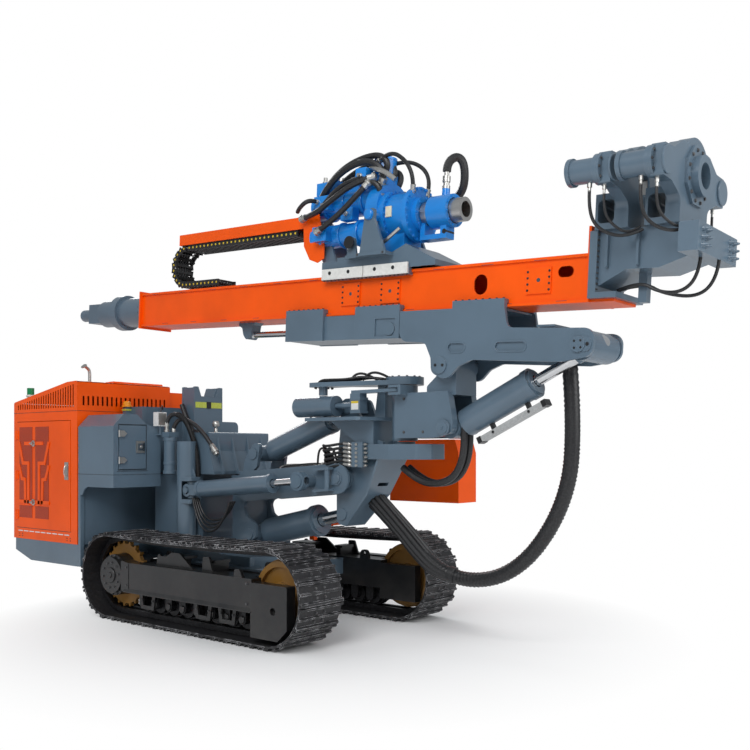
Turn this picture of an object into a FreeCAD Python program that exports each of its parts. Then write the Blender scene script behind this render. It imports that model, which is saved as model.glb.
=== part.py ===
import FreeCAD, Part
import math
import os

os.makedirs("parts", exist_ok=True)

# Tracked drilling rig. Millimetres, X forward, Y to the left, Z up, ground at Z = 0.
# Everything is drawn about the middle of the tracks and moved by MID_X when it is saved.
V = FreeCAD.Vector
MID_X = 640

# Tracks
SPROCKET_X = -1130
IDLER_X = 1100
WHEEL_Z = 425
TRACK_INNER_Y = 600
TRACK_OUTER_Y = 1100
SHOE_COUNT = 40
GROUSER_R = 425
SHOE_R = 402
LINK_R = 330
SHOE_SAG = 18

# Pins of the boom linkage, as (x, z)
SWING_X = -300
STRUT_BASE = (0, 1615)
ARM_REAR = (-50, 1300)
STRUT_HEAD = (1150, 2030)
ARM_FRONT = (1130, 1395)
LIFT_HEAD = (1085, 1072)
LIFT_BASE = (-60, 830)
SWING_BASE = (-557, 500, 1256)
SWING_EYE = (820, 400, 1370)
KING_X = 1705
TRUNNION = (970, -250, 2030)
SWIVEL_EYE = (1800, -250, 2130)
TILT_BASE = (2260, 1832)
TILT_PIN = (2251, 2338)
MAST_DIP = 3.04

# Mast, in its own frame: x along it from the tilt pin, z square to it
MAST_REAR = -4080
MAST_FRONT = 1270
MAST_LOW = 452
MAST_HIGH = 808
MAST_HALF = 200
LIP = 22
TILT_HEAD = (1225, 144)
BORE_Z = 1305
FRONT_CLAMP_X = 1885
REAR_CLAMP_X = 1515
SLIDE_ROD_Z = 333

# Hose loop from the mast bracket to the post's front web, as (x, y, z)
HOSE_R = 60
GLAND_R = 72
HOSE_ROUTE = ((3192, 145, 2490), (3250, 145, 1950), (3200, 145, 1250), (2760, 130, 640), (2150, 110, 520),
              (1676, 70, 860), (1352, 41, 1166))

# Thickness of the sheet-metal walls
SHEET = 4


def box(x0, x1, y0, y1, z0, z1):
    return Part.makeBox(x1 - x0, y1 - y0, z1 - z0, V(x0, y0, z0))


def bar(p, q, r):
    a = V(*p)
    b = V(*q)
    return Part.makeCylinder(r, (b - a).Length, a, b - a)


def pin_y(xz, r, y0, y1):
    return bar((xz[0], y0, xz[1]), (xz[0], y1, xz[1]), r)


def ring_y(xz, r_out, r_in, y0, y1):
    return pin_y(xz, r_out, y0, y1).cut(pin_y(xz, r_in, y0 - 1, y1 + 1))


def join(shapes):
    whole = shapes[0]
    if len(shapes) > 1:
        whole = whole.fuse(shapes[1:])
    return whole.removeSplitter()


def unit(v):
    return v * (1.0 / v.Length)


def outline(points, place):
    """Closed wire of straight lines; a third number on a point rounds that corner."""
    ends = []
    count = len(points)
    for i, point in enumerate(points):
        here = V(point[0], point[1], 0)
        radius = point[2] if len(point) > 2 else 0
        if not radius:
            ends.append((here, None, here))
            continue
        back = unit(V(*points[i - 1][:2], 0) - here)
        ahead = unit(V(*points[(i + 1) % count][:2], 0) - here)
        half = back.getAngle(ahead) / 2
        reach = radius / math.tan(half)
        centre = here + unit(back + ahead) * (radius / math.sin(half))
        middle = centre - unit(back + ahead) * radius
        ends.append((here + back * reach, middle, here + ahead * reach))
    edges = []
    for i, (start, middle, end) in enumerate(ends):
        if middle is not None:
            edges.append(Part.Arc(place(start), place(middle), place(end)).toShape())
        following = ends[(i + 1) % count][0]
        if (following - end).Length > 1e-4:
            edges.append(Part.makeLine(place(end), place(following)))
    return Part.Face(Part.Wire(edges))


def plate_xz(points, y0, y1):
    return outline(points, lambda p: V(p.x, y0, p.y)).extrude(V(0, y1 - y0, 0))


def plate_xy(points, z0, z1):
    return outline(points, lambda p: V(p.x, p.y, z0)).extrude(V(0, 0, z1 - z0))


def plate_yz(points, x0, x1):
    return outline(points, lambda p: V(x0, p.x, p.y)).extrude(V(x1 - x0, 0, 0))


def link_xz(p, r_p, q, r_q, y0, y1):
    """Bar with two round ends, seen from the side."""
    base = math.atan2(q[1] - p[1], q[0] - p[0])
    spread = math.acos((r_p - r_q) / math.hypot(q[0] - p[0], q[1] - p[1]))

    def rim(centre, radius, turn):
        return V(centre[0] + radius * math.cos(turn), y0, centre[1] + radius * math.sin(turn))

    edges = [Part.makeLine(rim(p, r_p, base + spread), rim(q, r_q, base + spread)),
             Part.Arc(rim(q, r_q, base + spread), rim(q, r_q, base), rim(q, r_q, base - spread)).toShape(),
             Part.makeLine(rim(q, r_q, base - spread), rim(p, r_p, base - spread)),
             Part.Arc(rim(p, r_p, base - spread), rim(p, r_p, base + math.pi),
                      rim(p, r_p, base + spread)).toShape()]
    return Part.Face(Part.Wire(edges)).extrude(V(0, y1 - y0, 0))


def mirrored(shape):
    return shape.mirror(V(0, 0, 0), V(0, 1, 0))


def both(shape):
    return [shape, mirrored(shape)]


def on_mast(shape):
    """Puts a shape drawn in the mast's frame in its place."""
    placed = shape.copy()
    placed.rotate(V(0, 0, 0), V(0, 1, 0), MAST_DIP)
    placed.translate(V(TILT_PIN[0], 0, TILT_PIN[1]))
    return placed


def mast_point(x, z):
    turn = math.radians(MAST_DIP)
    return (TILT_PIN[0] + x * math.cos(turn) + z * math.sin(turn),
            TILT_PIN[1] - x * math.sin(turn) + z * math.cos(turn))


def along(p, q, distance):
    """Point at a distance from p on the way to q."""
    a = V(*p)
    return tuple(a + unit(V(*q) - a) * distance)


def save(name, shapes):
    whole = shapes[0] if len(shapes) == 1 else Part.makeCompound(shapes)
    whole = whole.copy()
    whole.translate(V(-MID_X, 0, 0))
    whole.exportStep("parts/" + name + ".step")


def loop_point(distance, radius, straight):
    """Point on the track loop; the distance runs along the pitch line."""
    arc = math.pi * LINK_R
    lap = 2 * straight + 2 * arc
    distance = distance % lap
    if distance < straight:
        x = SPROCKET_X + distance
        sag = SHOE_SAG * math.sin(math.pi * distance / straight)
        return (x, WHEEL_Z + radius - sag)
    distance -= straight
    if distance < arc:
        turn = math.pi / 2 - distance / LINK_R
        return (IDLER_X + radius * math.cos(turn), WHEEL_Z + radius * math.sin(turn))
    distance -= arc
    if distance < straight:
        return (IDLER_X - distance, WHEEL_Z - radius)
    distance -= straight
    turn = -math.pi / 2 - distance / LINK_R
    return (SPROCKET_X + radius * math.cos(turn), WHEEL_Z + radius * math.sin(turn))


def track():
    """One closed loop of shoes, each with three low bars across it."""
    straight = IDLER_X - SPROCKET_X
    pitch = (2 * straight + 2 * math.pi * LINK_R) / SHOE_COUNT
    profile = ((0.03, SHOE_R - 8), (0.03, GROUSER_R), (0.12, GROUSER_R), (0.15, SHOE_R),
               (0.42, SHOE_R), (0.44, GROUSER_R - 5), (0.52, GROUSER_R - 5), (0.54, SHOE_R),
               (0.82, SHOE_R), (0.85, GROUSER_R), (0.97, GROUSER_R), (0.97, SHOE_R - 8))
    outer = []
    inner = []
    for shoe in range(SHOE_COUNT):
        for part, radius in profile:
            outer.append(loop_point((shoe + part) * pitch, radius, straight))
        for part in (0.25, 0.75):
            inner.append(loop_point((shoe + part) * pitch, SHOE_R - 16, straight))
    loop = plate_xz(outer, TRACK_INNER_Y, TRACK_OUTER_Y)
    loop = loop.cut(plate_xz(inner, TRACK_INNER_Y - 1, TRACK_OUTER_Y + 1))
    return loop


def track_chain():
    """The link chain inside the shoes, as two rails."""
    straight = IDLER_X - SPROCKET_X
    steps = 36
    lap = 2 * straight + 2 * math.pi * LINK_R
    outer = [loop_point(i * lap / steps, SHOE_R - 21, straight) for i in range(steps)]
    inner = [loop_point(i * lap / steps, SHOE_R - 70, straight) for i in range(steps)]
    rails = []
    for y0, y1 in ((775, 810), (890, 925)):
        rails.append(plate_xz(outer, y0, y1).cut(plate_xz(inner, y0 - 1, y1 + 1)))
    return rails


def sprocket():
    """Toothed wheel on the side of its drive hub."""
    teeth = 21
    points = []
    for tooth in range(teeth):
        for part, radius in ((0.0, 296), (0.3, 296), (0.42, 326), (0.58, 326), (0.7, 296)):
            turn = 2 * math.pi * (tooth + part) / teeth
            points.append((SPROCKET_X + radius * math.cos(turn), WHEEL_Z + radius * math.sin(turn)))
    wheel = plate_xz(points, 830, 870)
    return wheel.cut(pin_y((SPROCKET_X, WHEEL_Z), 205, 820, 880))


def drive_hub():
    centre = (SPROCKET_X, WHEEL_Z)
    return join([pin_y(centre, 200, 640, 1000), pin_y(centre, 175, 1000, 1040)])


def idler():
    centre = (IDLER_X, WHEEL_Z)
    rim = join([pin_y(centre, 312, 822, 878), pin_y(centre, 296, 780, 920)])
    groove = ring_y(centre, 250, 120, 879, 921)
    hidden = ring_y(centre, 250, 120, 779, 821)
    return rim.cut(groove).cut(hidden)


def track_frame():
    """Side beam, roller guards, idler guide box and carrier skids of one track."""
    beam = box(-860, 915, 960, 1075, 300, 573)
    flare = plate_yz([(1075, 330), (1092, 300), (1092, 292), (960, 292), (960, 330)], -860, 915)
    end_plate = plate_xz([(-905, 300), (-790, 300), (-790, 573), (-905, 590, 20)], 950, 1080)
    nose = plate_xz([(914, 90), (1230, 90), (1340, 190), (1340, 545, 15), (914, 545)], 985, 1085)
    nose = nose.cut(pin_y((1180, 330), 32, 1050, 1090))
    inner = box(-900, 915, 640, 740, 300, 573)
    deck = box(-780, 760, 739, 961, 500, 560)
    slot = box(900, 1330, 640, 730, 200, 545)
    arch = plate_xz([(-470, 572), (-440, 690, 20), (-400, 660, 15), (-330, 660, 15), (-240, 705, 30),
                     (-130, 705, 30), (60, 572)], 975, 995)
    post = plate_xz([(190, 572), (200, 700, 15), (280, 700, 15), (330, 572)], 975, 995)
    ear = plate_xz([(690, 572), (700, 640, 20), (760, 640, 20), (800, 572)], 1040, 1070)
    skids = [box(-420, -160, 760, 940, 640, 665), box(200, 300, 760, 940, 640, 665)]
    skid_posts = [box(-330, -250, 760, 976, 559, 641), box(220, 280, 760, 976, 559, 641)]
    guards = []
    for x in (-560, 240, 560):
        guards.append(plate_xz([(x - 120, 301), (x - 95, 150, 12), (x + 95, 150, 12), (x + 120, 301),
                                (x + 80, 301), (x + 62, 185), (x - 62, 185), (x - 80, 301)], 1010, 1030))
    lugs = []
    for x in (-700, 700):
        lugs.append(plate_xz([(x - 60, 573), (x - 45, 660, 40), (x + 45, 660, 40), (x + 60, 573)], 640, 665)
                    .cut(pin_y((x, 620), 22, 630, 670)))
    return join([beam, flare, end_plate, nose, inner, deck, slot, arch, post, ear]
                + skids + skid_posts + guards + lugs)


def rollers():
    """Lower rollers between the rails' tracks, each with flanges."""
    pieces = []
    for i in range(8):
        x = -680 + i * 200
        body = join([pin_y((x, 200), 88, 760, 940), pin_y((x, 200), 104, 812, 888),
                     pin_y((x, 200), 45, 700, 1000)])
        hanger = box(x - 45, x + 45, 975, 1000, 200, 292)
        inner_hanger = box(x - 45, x + 45, 700, 725, 200, 300)
        pieces.append(join([body, hanger, inner_hanger]))
    return pieces


def car_body():
    """Middle frame that carries the tracks, the turret foot and the rear frame."""
    side = [(-1450, 560), (250, 560), (250, 650), (-170, 650), (-170, 740), (-1450, 740)]
    inside = [(-1430, 580), (230, 580), (230, 630), (-190, 630), (-190, 720), (-1430, 720)]
    centre = plate_xz(side, -480, 480).cut(plate_xz(inside, -460, 460))
    beams = [box(-620, -420, -640, 640, 400, 560), box(220, 420, -640, 640, 400, 560)]
    nose = plate_xy([(249, -420), (430, -300, 40), (430, 300, 40), (249, 420)], 560, 650)
    foot = bar((SWING_X, 0, 739), (SWING_X, 0, 750), 128)
    tower = box(-1300, -752, -380, 380, 739, 1396).cut(box(-1292, -760, -372, 372, 741, 1388))
    return join([centre, nose, foot, tower] + beams)


def rear_base():
    """Grey base tray behind the tracks, carrying the engine housing and the side boxes."""
    profile = [(-2800, 571), (-2490, 475), (-1600, 475), (-1600, 695), (-2800, 695)]
    tray = plate_xz(profile, -1100, 1100)
    hollow = [(-2780, 585), (-2480, 495), (-1620, 495), (-1620, 675), (-2780, 675)]
    tray = tray.cut(plate_xz(hollow, -1080, 1080))
    rails = [box(-1620, -1451, y - 90, y + 90, 560, 695) for y in (-350, 350)]
    return join([tray] + rails)


def engine_hood():
    """Orange housing: thin walls, louvres above the seam, sloped roof with a raised hatch."""
    side = [(-2840, 696), (-1622, 696), (-1622, 2352, 25), (-1800, 2345), (-2840, 2165, 25)]
    inner = [(-2840 + SHEET, 700), (-1622 - SHEET, 700), (-1622 - SHEET, 2348), (-1800, 2340),
             (-2840 + SHEET, 2160)]
    shell = plate_xz(side, -1100, 60).cut(plate_xz(inner, -1100 + SHEET, 60 - SHEET))
    cuts = []
    for i in range(24):
        x = -2760 + i * 46
        roof = 2165 + 0.173 * (x + 2840)
        cuts.append(box(x, x + 20, -1101, -1099 + SHEET, 2085, roof - 45))
    for i in range(19):
        y = -1035 + i * 56
        cuts.append(box(-1623 - SHEET, -1621, y, y + 22, 2105, 2200))
    door_hole = box(-2772, -1732, -1101, -1099 + SHEET, 812, 1955)
    shell = shell.cut(Part.makeCompound(cuts)).cut(door_hole)
    hatch = plate_xz([(-2400, 2238), (-2400, 2264), (-1800, 2368), (-1650, 2372, 15), (-1650, 2346),
                      (-1800, 2343)], -640, -20)
    hatch = hatch.cut(plate_xz(inner, -900, 0))
    side_box = box(-2300, -1640, 59, 330, 1990, 2285)
    side_box = side_box.cut(box(-2296, -1644, 50, 326, 1994, 2281))
    return join([shell, hatch, side_box])


def engine_door():
    """Side door: a frame with two mesh panels, a middle bar and three hinge knuckles."""
    frame = box(-2766, -1738, -1104, -1096, 818, 1949)
    panels = [box(-2690, -2300, -1110, -1090, 930, 1850), box(-2220, -1830, -1110, -1090, 930, 1850)]
    frame = frame.cut(Part.makeCompound(panels))
    mesh = [box(-2691, -2299, -1101, -1098, 929, 1851), box(-2221, -1829, -1101, -1098, 929, 1851)]
    handle = box(-1800, -1770, -1122, -1104, 1400, 1520)
    hinges = []
    for z in (900, 1330, 1760):
        hinges.append(bar((-2774, -1112, z), (-2774, -1112, z + 100), 10))
        hinges.append(box(-2774, -2735, -1112, -1103, z + 5, z + 95))
    return join([frame, handle] + mesh + hinges)


def engine_block():
    return box(-2600, -1800, -750, 0, 900, 1800)


def tank():
    """Hydraulic tank on the far side of the base."""
    shell = plate_yz([(150, 696), (1080, 696, 10), (1080, 1980, 60), (150, 1980, 20)], -2780, -1640)
    return shell.cut(box(-2774, -1646, 156, 1074, 702, 1974))


def fender():
    """Arch panel behind the track and the shelf in front of it."""
    strip = box(-1599, -1560, -1100, -1060, 476, 1408)
    shelf = plate_xz([(-1561, 1200), (-1561, 1408), (-1000, 1408), (-1000, 1283), (-1470, 1283, 90),
                      (-1530, 1200)], -1100, -1085)
    top = box(-1599, -1000, -1085, -541, 1395, 1408)
    front = box(-1015, -1000, -1085, -541, 1283, 1396)
    back = box(-1599, -1575, -1060, 1060, 696, 1396)
    left = box(-1599, -1000, 541, 1085, 1395, 1408)
    deck = box(-1599, -1300, -541, 541, 1380, 1396)
    return join([strip, shelf, top, front, back, left, deck])


def control_box():
    """Grey switch box over the shelf with a sloped roof."""
    front = [(-1100, 1409), (-541, 1409), (-541, 1860, 60), (-715, 1905), (-825, 2003), (-980, 2003),
             (-1100, 1883)]
    shell = plate_yz(front, -1598, -1000)
    inner = [(-1100 + SHEET, 1413), (-545, 1413), (-545, 1856), (-717, 1900), (-827, 1998), (-978, 1998),
             (-1100 + SHEET, 1880)]
    shell = shell.cut(plate_yz(inner, -1594, -1004))
    return shell.cut(box(-1006, -999, -1042, -718, 1458, 1898))


def control_door():
    panel = box(-1001, -995, -1036, -724, 1464, 1892)
    latch = box(-995, -985, -770, -740, 1640, 1720)
    hinges = []
    for z in (1520, 1780):
        hinges.append(bar((-989, -1046, z), (-989, -1046, z + 60), 8))
        hinges.append(box(-995, -986, -1046, -990, z + 5, z + 55))
    return join([panel, latch] + hinges)


def deck_box():
    """Grey box between the engine housing and the bridge."""
    body = box(-1598, -1310, -540, 540, 1409, 2100)
    return body.cut(box(-1592, -1316, -534, 534, 1415, 2094))


def mast_rest():
    """Saddle that the mast lies in on the road, with a tray between its two ears."""
    face = [(-190, 1409), (190, 1409), (190, 2310, 10), (135, 2310, 10), (95, 2205), (-95, 2205),
            (-135, 2310, 10), (-190, 2310, 10)]
    web = plate_yz(face, -1100, -1080)
    back = plate_yz(face, -920, -900)
    sides = [box(-1081, -919, y, y + 16, 1409, 2300) for y in (-186, 170)]
    tray = plate_yz([(-134, 2304), (-94, 2200), (94, 2200), (134, 2304), (122, 2304), (86, 2212),
                     (-86, 2212), (-122, 2304)], -1081, -919)
    foot = box(-1309, -751, -250, 250, 1397, 1410)
    return join([web, back, foot, tray] + sides)


def bridge():
    """Heavy cross box over the turret, ribbed on its sloped front."""
    profile = [(-750, 1411), (-345, 1411), (-345, 1440), (-415, 1640), (-415, 1825, 20), (-750, 1825)]
    body = plate_xz(profile, -400, 400)
    hollow = [(-730, 1440), (-372, 1440), (-440, 1640), (-440, 1800), (-730, 1800)]
    body = body.cut(plate_xz(hollow, -380, 380))
    ribs = []
    for y in (-300, -110, 90, 280):
        ribs.append(plate_xz([(-414, 1780), (-416, 1640), (-346, 1440), (-346, 1412), (-312, 1412),
                              (-312, 1440), (-388, 1655)], y, y + 20))
    nose = bar((SWING_X, 0, 1411), (SWING_X, 0, 1440), 130)
    legs = [box(-750, -560, y - 20, y + 20, 740, 1411) for y in (-380, 380)]
    rear = box(-750, -730, -400, 400, 740, 1411)
    return join([body, nose, rear] + legs + ribs)


def swing_post():
    """Open tube that holds the right swing cylinder, with its clevis frame and gusset."""
    shaft = bar((-640, -500, 740), (-640, -500, 1735), 95)
    shaft = shaft.cut(bar((-640, -500, 1500), (-640, -500, 1736), 80))
    web = box(-740, -650, -420, -401, 740, 1411)
    ties = [box(-700, -560, -500, -401, 740, 760), box(-700, -560, -500, -401, 1390, 1411)]
    ear = [(-640, -595), (-500, -575, 30), (-500, -425, 30), (-640, -405)]
    top = plate_xy(ear, 1345, 1385)
    low = plate_xy(ear, 1127, 1167)
    gusset = plate_xz([(-560, 1384), (-505, 1384), (-560, 1500)], -507, -493)
    room = bar((SWING_BASE[0], -500, 1166), (SWING_BASE[0], -500, 1346), 102)
    return join([shaft.cut(room), web, top, low, gusset] + ties)


def filter_can():
    can = bar((-900, -500, 1409), (-900, -500, 1780), 62)
    head = box(-960, -840, -560, -440, 1780, 1830)
    return join([can, head])


def console():
    """Orange operator box on the left side, open at its lower back."""
    shell = plate_xz([(900, 1150), (1720, 1150), (1720, 1620), (1680, 1750, 20), (900, 1750)], 800, 1098)
    shell = shell.cut(plate_xz([(904, 1154), (1716, 1154), (1716, 1620), (1678, 1746), (904, 1746)],
                               804, 1094))
    arm = box(160, 901, 920, 980, 1200, 1260)
    upright = box(160, 220, 920, 980, 870, 1260)
    cross = box(160, 220, 420, 980, 870, 920)
    foot = box(160, 220, 420, 470, 741, 920)
    return join([shell, arm, upright, cross, foot])


def beacon_base():
    return join([bar((-2760, -950, 2185), (-2760, -950, 2230), 30), bar((-2760, -950, 2230),
                (-2760, -950, 2250), 45)])


def beacon():
    return bar((-2760, -950, 2250), (-2760, -950, 2330), 38)


def exhaust():
    pipe = bar((-2500, -300, 2232), (-2500, -300, 2400), 34)
    bore = bar((-2500, -300, 2240), (-2500, -300, 2401), 30)
    return pipe.cut(bore)


def turret():
    """Swinging foot of the boom: a post on the king axis with two long cheeks."""
    tube = bar((SWING_X, 0, 758), (SWING_X, 0, 1405), 110)
    profile = [(-300, 762), (-60, 762, 30), (30, 800, 30), (30, 930, 40), (-110, 1010, 60),
               (-150, 1130, 60), (60, 1210, 60), (70, 1380, 50), (-20, 1440, 30), (50, 1490, 20),
               (92, 1715, 30), (0, 1712, 40), (-120, 1560, 40), (-160, 1400), (-300, 1400)]
    cheek = plate_xz(profile, -200, -165)
    rear = box(-360, -200, -165, 165, 775, 795)
    top = box(-360, -170, -165, 165, 1375, 1395)
    web = box(-205, -185, -165, 165, 794, 1376)
    sleeve = pin_y(ARM_REAR, 62, -200, 200)
    bosses = [pin_y(p, 55, -215, -199) for p in (STRUT_BASE, LIFT_BASE)]
    bosses += [mirrored(b) for b in bosses]
    return join([tube, rear, top, web, sleeve] + both(cheek) + bosses)


def arm_side(y0, y1):
    return link_xz(ARM_REAR, 145, ARM_FRONT, 135, y0, y1)


def boom_arm():
    """Boom arm: two side plates joined by a floor, a top plate and two bulkheads."""
    sides = [arm_side(-250, -225), arm_side(225, 250)]
    rise = (ARM_FRONT[1] - ARM_REAR[1]) / float(ARM_FRONT[0] - ARM_REAR[0])

    def at(x, offset):
        return (x, ARM_REAR[1] + rise * (x - ARM_REAR[0]) + offset)

    floor = plate_xz([at(170, -132), at(930, -132), at(930, -112), at(170, -112)], -225, 225)
    top = plate_xz([at(250, 40), at(930, 40), at(930, 60), at(250, 60)], -225, 225)
    rear = plate_xz([at(250, -113), at(270, -113), at(270, 41), at(250, 41)], -225, 225)
    front = plate_xz([at(910, -113), at(930, -113), at(930, 41), at(910, 41)], -225, 225)
    bosses = []
    for pin in (ARM_REAR, ARM_FRONT):
        bosses.append(pin_y(pin, 60, -262, -250))
        bosses.append(pin_y(pin, 60, 250, 262))
    lug = pin_y((SWING_EYE[0], SWING_EYE[2]), 62, -345, -250)
    open_box = [plate_xz([at(905, h), at(1100, h), at(1100, h + 20), at(905, h + 20)], -330, -249)
                for h in (-105, 85)]
    upright = bar((1060, -300, at(1060, -90)[1]), (1060, -300, at(1060, 90)[1]), 24)
    bracket_parts = open_box + [upright]
    return join(sides + [floor, top, rear, front] + bosses + both(lug) + bracket_parts
                + [mirrored(part) for part in bracket_parts])


def boom_post():
    """Post at the arm's front: two cheeks, a bent front web and the swivel carriers."""
    profile = [(1020, 985, 50), (1130, 965, 20), (1410, 1270), (1500, 1450), (1560, 1571), (1560, 1720),
               (1500, 1740), (1500, 1920), (1300, 1940, 60), (1225, 2112, 70), (1075, 2112, 70),
               (1060, 1800), (1020, 1500)]
    cheek = plate_xz(profile, -125, -95)
    web = plate_xz([(1120, 966), (1137, 964), (1410, 1252), (1515, 1448), (1575, 1571), (1552, 1571),
                    (1494, 1456), (1398, 1264)], -210, 210)
    web = web.common(plate_yz([(-125, 900), (125, 900), (205, 1600), (-205, 1600)], 1000, 1600))
    slot = box(1380, 1600, -70, 70, 1330, 1360)
    low = plate_xy([(1420, -200), (1700, -230), (1980, -200, 60), (2060, -90, 60), (2060, 90, 60),
                    (1980, 200, 60), (1700, 230), (1420, 200)], 1570, 1700)
    low = low.cut(plate_xy([(1600, -150), (1900, -150), (1900, 150), (1600, 150)], 1590, 1680))
    shelf = plate_xy([(860, -400, 40), (1500, -400, 40), (1560, 0), (1500, 260, 40), (1420, 260, 20),
                      (1420, -165), (860, -165)], 1906, 1936)
    keel = plate_xz([(1000, 1907), (1330, 1700, 40), (1499, 1640), (1499, 1907)], -185, -165)
    back = box(1480, 1500, -185, 165, 1600, 1906)
    riser = plate_xz([(1420, 1936), (1540, 1936), (1540, 2212), (1460, 2212)], -70, 70)
    upper = plate_xy([(870, -350, 40), (1000, -350, 40), (1560, -200), (1640, -165), (1705, -165),
                      (1705, 165), (1600, 165), (1420, 90), (1200, -120), (870, -150, 40)], 2212, 2252)
    disc = bar((KING_X, 0, 2212), (KING_X, 0, 2280), 165)
    core = bar((KING_X, 0, 1700), (KING_X, 0, 1722), 90)
    bosses = [pin_y(ARM_FRONT, 70, -212, 212)]
    for pin in (STRUT_HEAD, LIFT_HEAD):
        bosses += both(pin_y(pin, 55, -137, -124))
    bosses += both(pin_y(ARM_FRONT, 95, -165, -124))
    trunnions = [bar((TRUNNION[0], TRUNNION[1], 1936), (TRUNNION[0], TRUNNION[1], 1940), 40),
                 bar((TRUNNION[0], TRUNNION[1], 2140), (TRUNNION[0], TRUNNION[1], 2212), 40)]
    gland = bar(HOSE_ROUTE[-1], tuple(V(*HOSE_ROUTE[-1]) + unit(V(*HOSE_ROUTE[-1]) - V(*HOSE_ROUTE[-2])) * 34),
                GLAND_R)
    parts = [web.cut(slot), low, shelf, keel, back, riser, upper, disc, core, gland]
    return join(parts + both(cheek) + bosses + trunnions)


def cylinder_pair(base, head, barrel_r, rod_r, gland_r, eyes, halves, mouth, rod_start):
    """Barrel with a base eye and rod with a head eye; both eyes turn about Y."""
    base_eye, head_eye = eyes
    base_half, head_half = halves
    reach = (V(*head) - V(*base)).Length

    def part(start, end, radius):
        return bar(along(base, head, start), along(base, head, end), radius)

    barrel = join([bar((base[0], -base_half, base[2]), (base[0], base_half, base[2]), base_eye),
                   part(10, base_eye + 40, barrel_r * 0.8), part(base_eye + 15, mouth, barrel_r),
                   part(mouth - 58, mouth, gland_r), part(mouth, mouth + 22, gland_r * 0.82)])
    barrel = barrel.cut(part(base_eye + 70, mouth + 23, rod_r + 6))
    barrel = barrel.cut(part(base_eye + 70, mouth - 40, barrel_r - 12))
    rod = join([part(rod_start, reach - 8, rod_r), part(rod_start, rod_start + 40, barrel_r - 18),
                bar((head[0], -head_half, head[2]), (head[0], head_half, head[2]), head_eye),
                part(reach - head_eye - 35, reach - 10, rod_r * 1.25)])
    return barrel, rod


def at_y(xz, y):
    return (xz[0], y, xz[1])


def knuckle(side):
    """Cross piece between a post's clevis and a swing cylinder."""
    x, y, z = SWING_BASE
    y = y * side
    block = bar((x, y, z - 80), (x, y, z + 80), 48)
    cross = bar((x, y - 88, z), (x, y + 88, z), 30)
    return join([block, cross])


def swing_cylinder(side):
    """Barrel with a fork on the knuckle and rod with a cross eye, beside the boom arm."""
    x, y, z = SWING_BASE
    base = (x, y * side, z)
    head = (SWING_EYE[0], SWING_EYE[1] * side, SWING_EYE[2])
    total = (V(*head) - V(*base)).Length
    fork = []
    for offset in (-70, 58):
        ear = bar((x, base[1] + offset, z), (x, base[1] + offset + 12, z), 62)
        arm = box(x, x + 130, base[1] + offset, base[1] + offset + 12, z - 45, z + 55)
        pin_hole = bar((x, base[1] + offset - 1, z), (x, base[1] + offset + 13, z), 36)
        fork.append(join([ear, arm]).cut(pin_hole))
    cap = bar(along(base, head, 112), along(base, head, 150), 88)
    barrel = join([cap, bar(along(base, head, 149), along(base, head, 1030), 82),
                   bar(along(base, head, 1030), along(base, head, 1060), 90)] + fork)
    barrel = barrel.cut(bar(along(base, head, 165), along(base, head, 1000), 70))
    barrel = barrel.cut(bar(along(base, head, 160), along(base, head, 1061), 41))
    outer = side * 440
    inner = side * 368
    rod = join([bar(along(base, head, 400), along(base, head, total - 20), 35),
                bar((head[0], inner, head[2]), (head[0], outer, head[2]), 85),
                bar((head[0], outer, head[2]), (head[0], outer + side * 12, head[2]), 60)])
    return barrel, rod


def swivel_block():
    """Block that turns on the king pin and carries the mast bracket and the tilt cylinder."""
    hub = bar((KING_X, 0, 1728), (KING_X, 0, 2206), 112)
    side = [(1750, 1750), (2150, 1750), (2345, 1790, 60), (2345, 1900, 60), (2300, 2130), (1750, 2130)]
    sides = [plate_xz(side, -205, -130), plate_xz(side, 130, 205)]
    core = box(1740, 2080, -131, 131, 1760, 2130)
    round_top = pin_y(TILT_PIN, 80, -205, 205)
    lug = plate_xz([(2050, 2100), (2343, 2100), (2343, 2430, 88), (2159, 2430, 88), (2159, 2270, 60),
                    (2050, 2180, 30)], -150, 150)
    bosses = both(pin_y(TILT_BASE, 50, -217, -204))
    ears = [plate_xy([(1730, -305, 50), (1890, -305, 20), (1890, -125), (1730, -125)], z, z + 22)
            for z in (2112, 2174)]
    back = box(1862, 1890, -305, -125, 2112, 2196)
    return join([hub, core, lug, round_top, back] + sides + bosses + ears)


def swivel_barrel():
    x, y, z = TRUNNION
    body = bar((666, y, z + 10), (1135, y, z + 10), 92)
    body = body.cut(bar((700, y, z + 10), (1100, y, z + 10), 78))
    body = body.cut(bar((1090, y, z + 10), (1136, y, z + 10), 31))
    pins = [bar((x, y, 1947), (x, y, 1960), 36), bar((x, y, 2112), (x, y, 2134), 36)]
    return join([body] + pins)


def swivel_rod():
    """Rod with its clevis block and the flat link that reaches the swivel block."""
    y = TRUNNION[1]
    z = TRUNNION[2] + 10
    rod = bar((800, y, z), (1340, y, z), 25)
    block = box(1330, 1440, y - 48, y + 48, 1990, 2141)
    plates = [box(1335, 1450, y - 55, y + 55, 1968, 1991), box(1335, 1450, y - 55, y + 55, 2085, 2107)]
    link = plate_xy([(1340, y - 45), (SWIVEL_EYE[0], y - 45), (SWIVEL_EYE[0], y + 45), (1340, y + 45)],
                    2140, 2168)
    eye = bar((SWIVEL_EYE[0], y, 2140), (SWIVEL_EYE[0], y, 2168), 45)
    return join([rod, block, link, eye] + plates)


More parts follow.
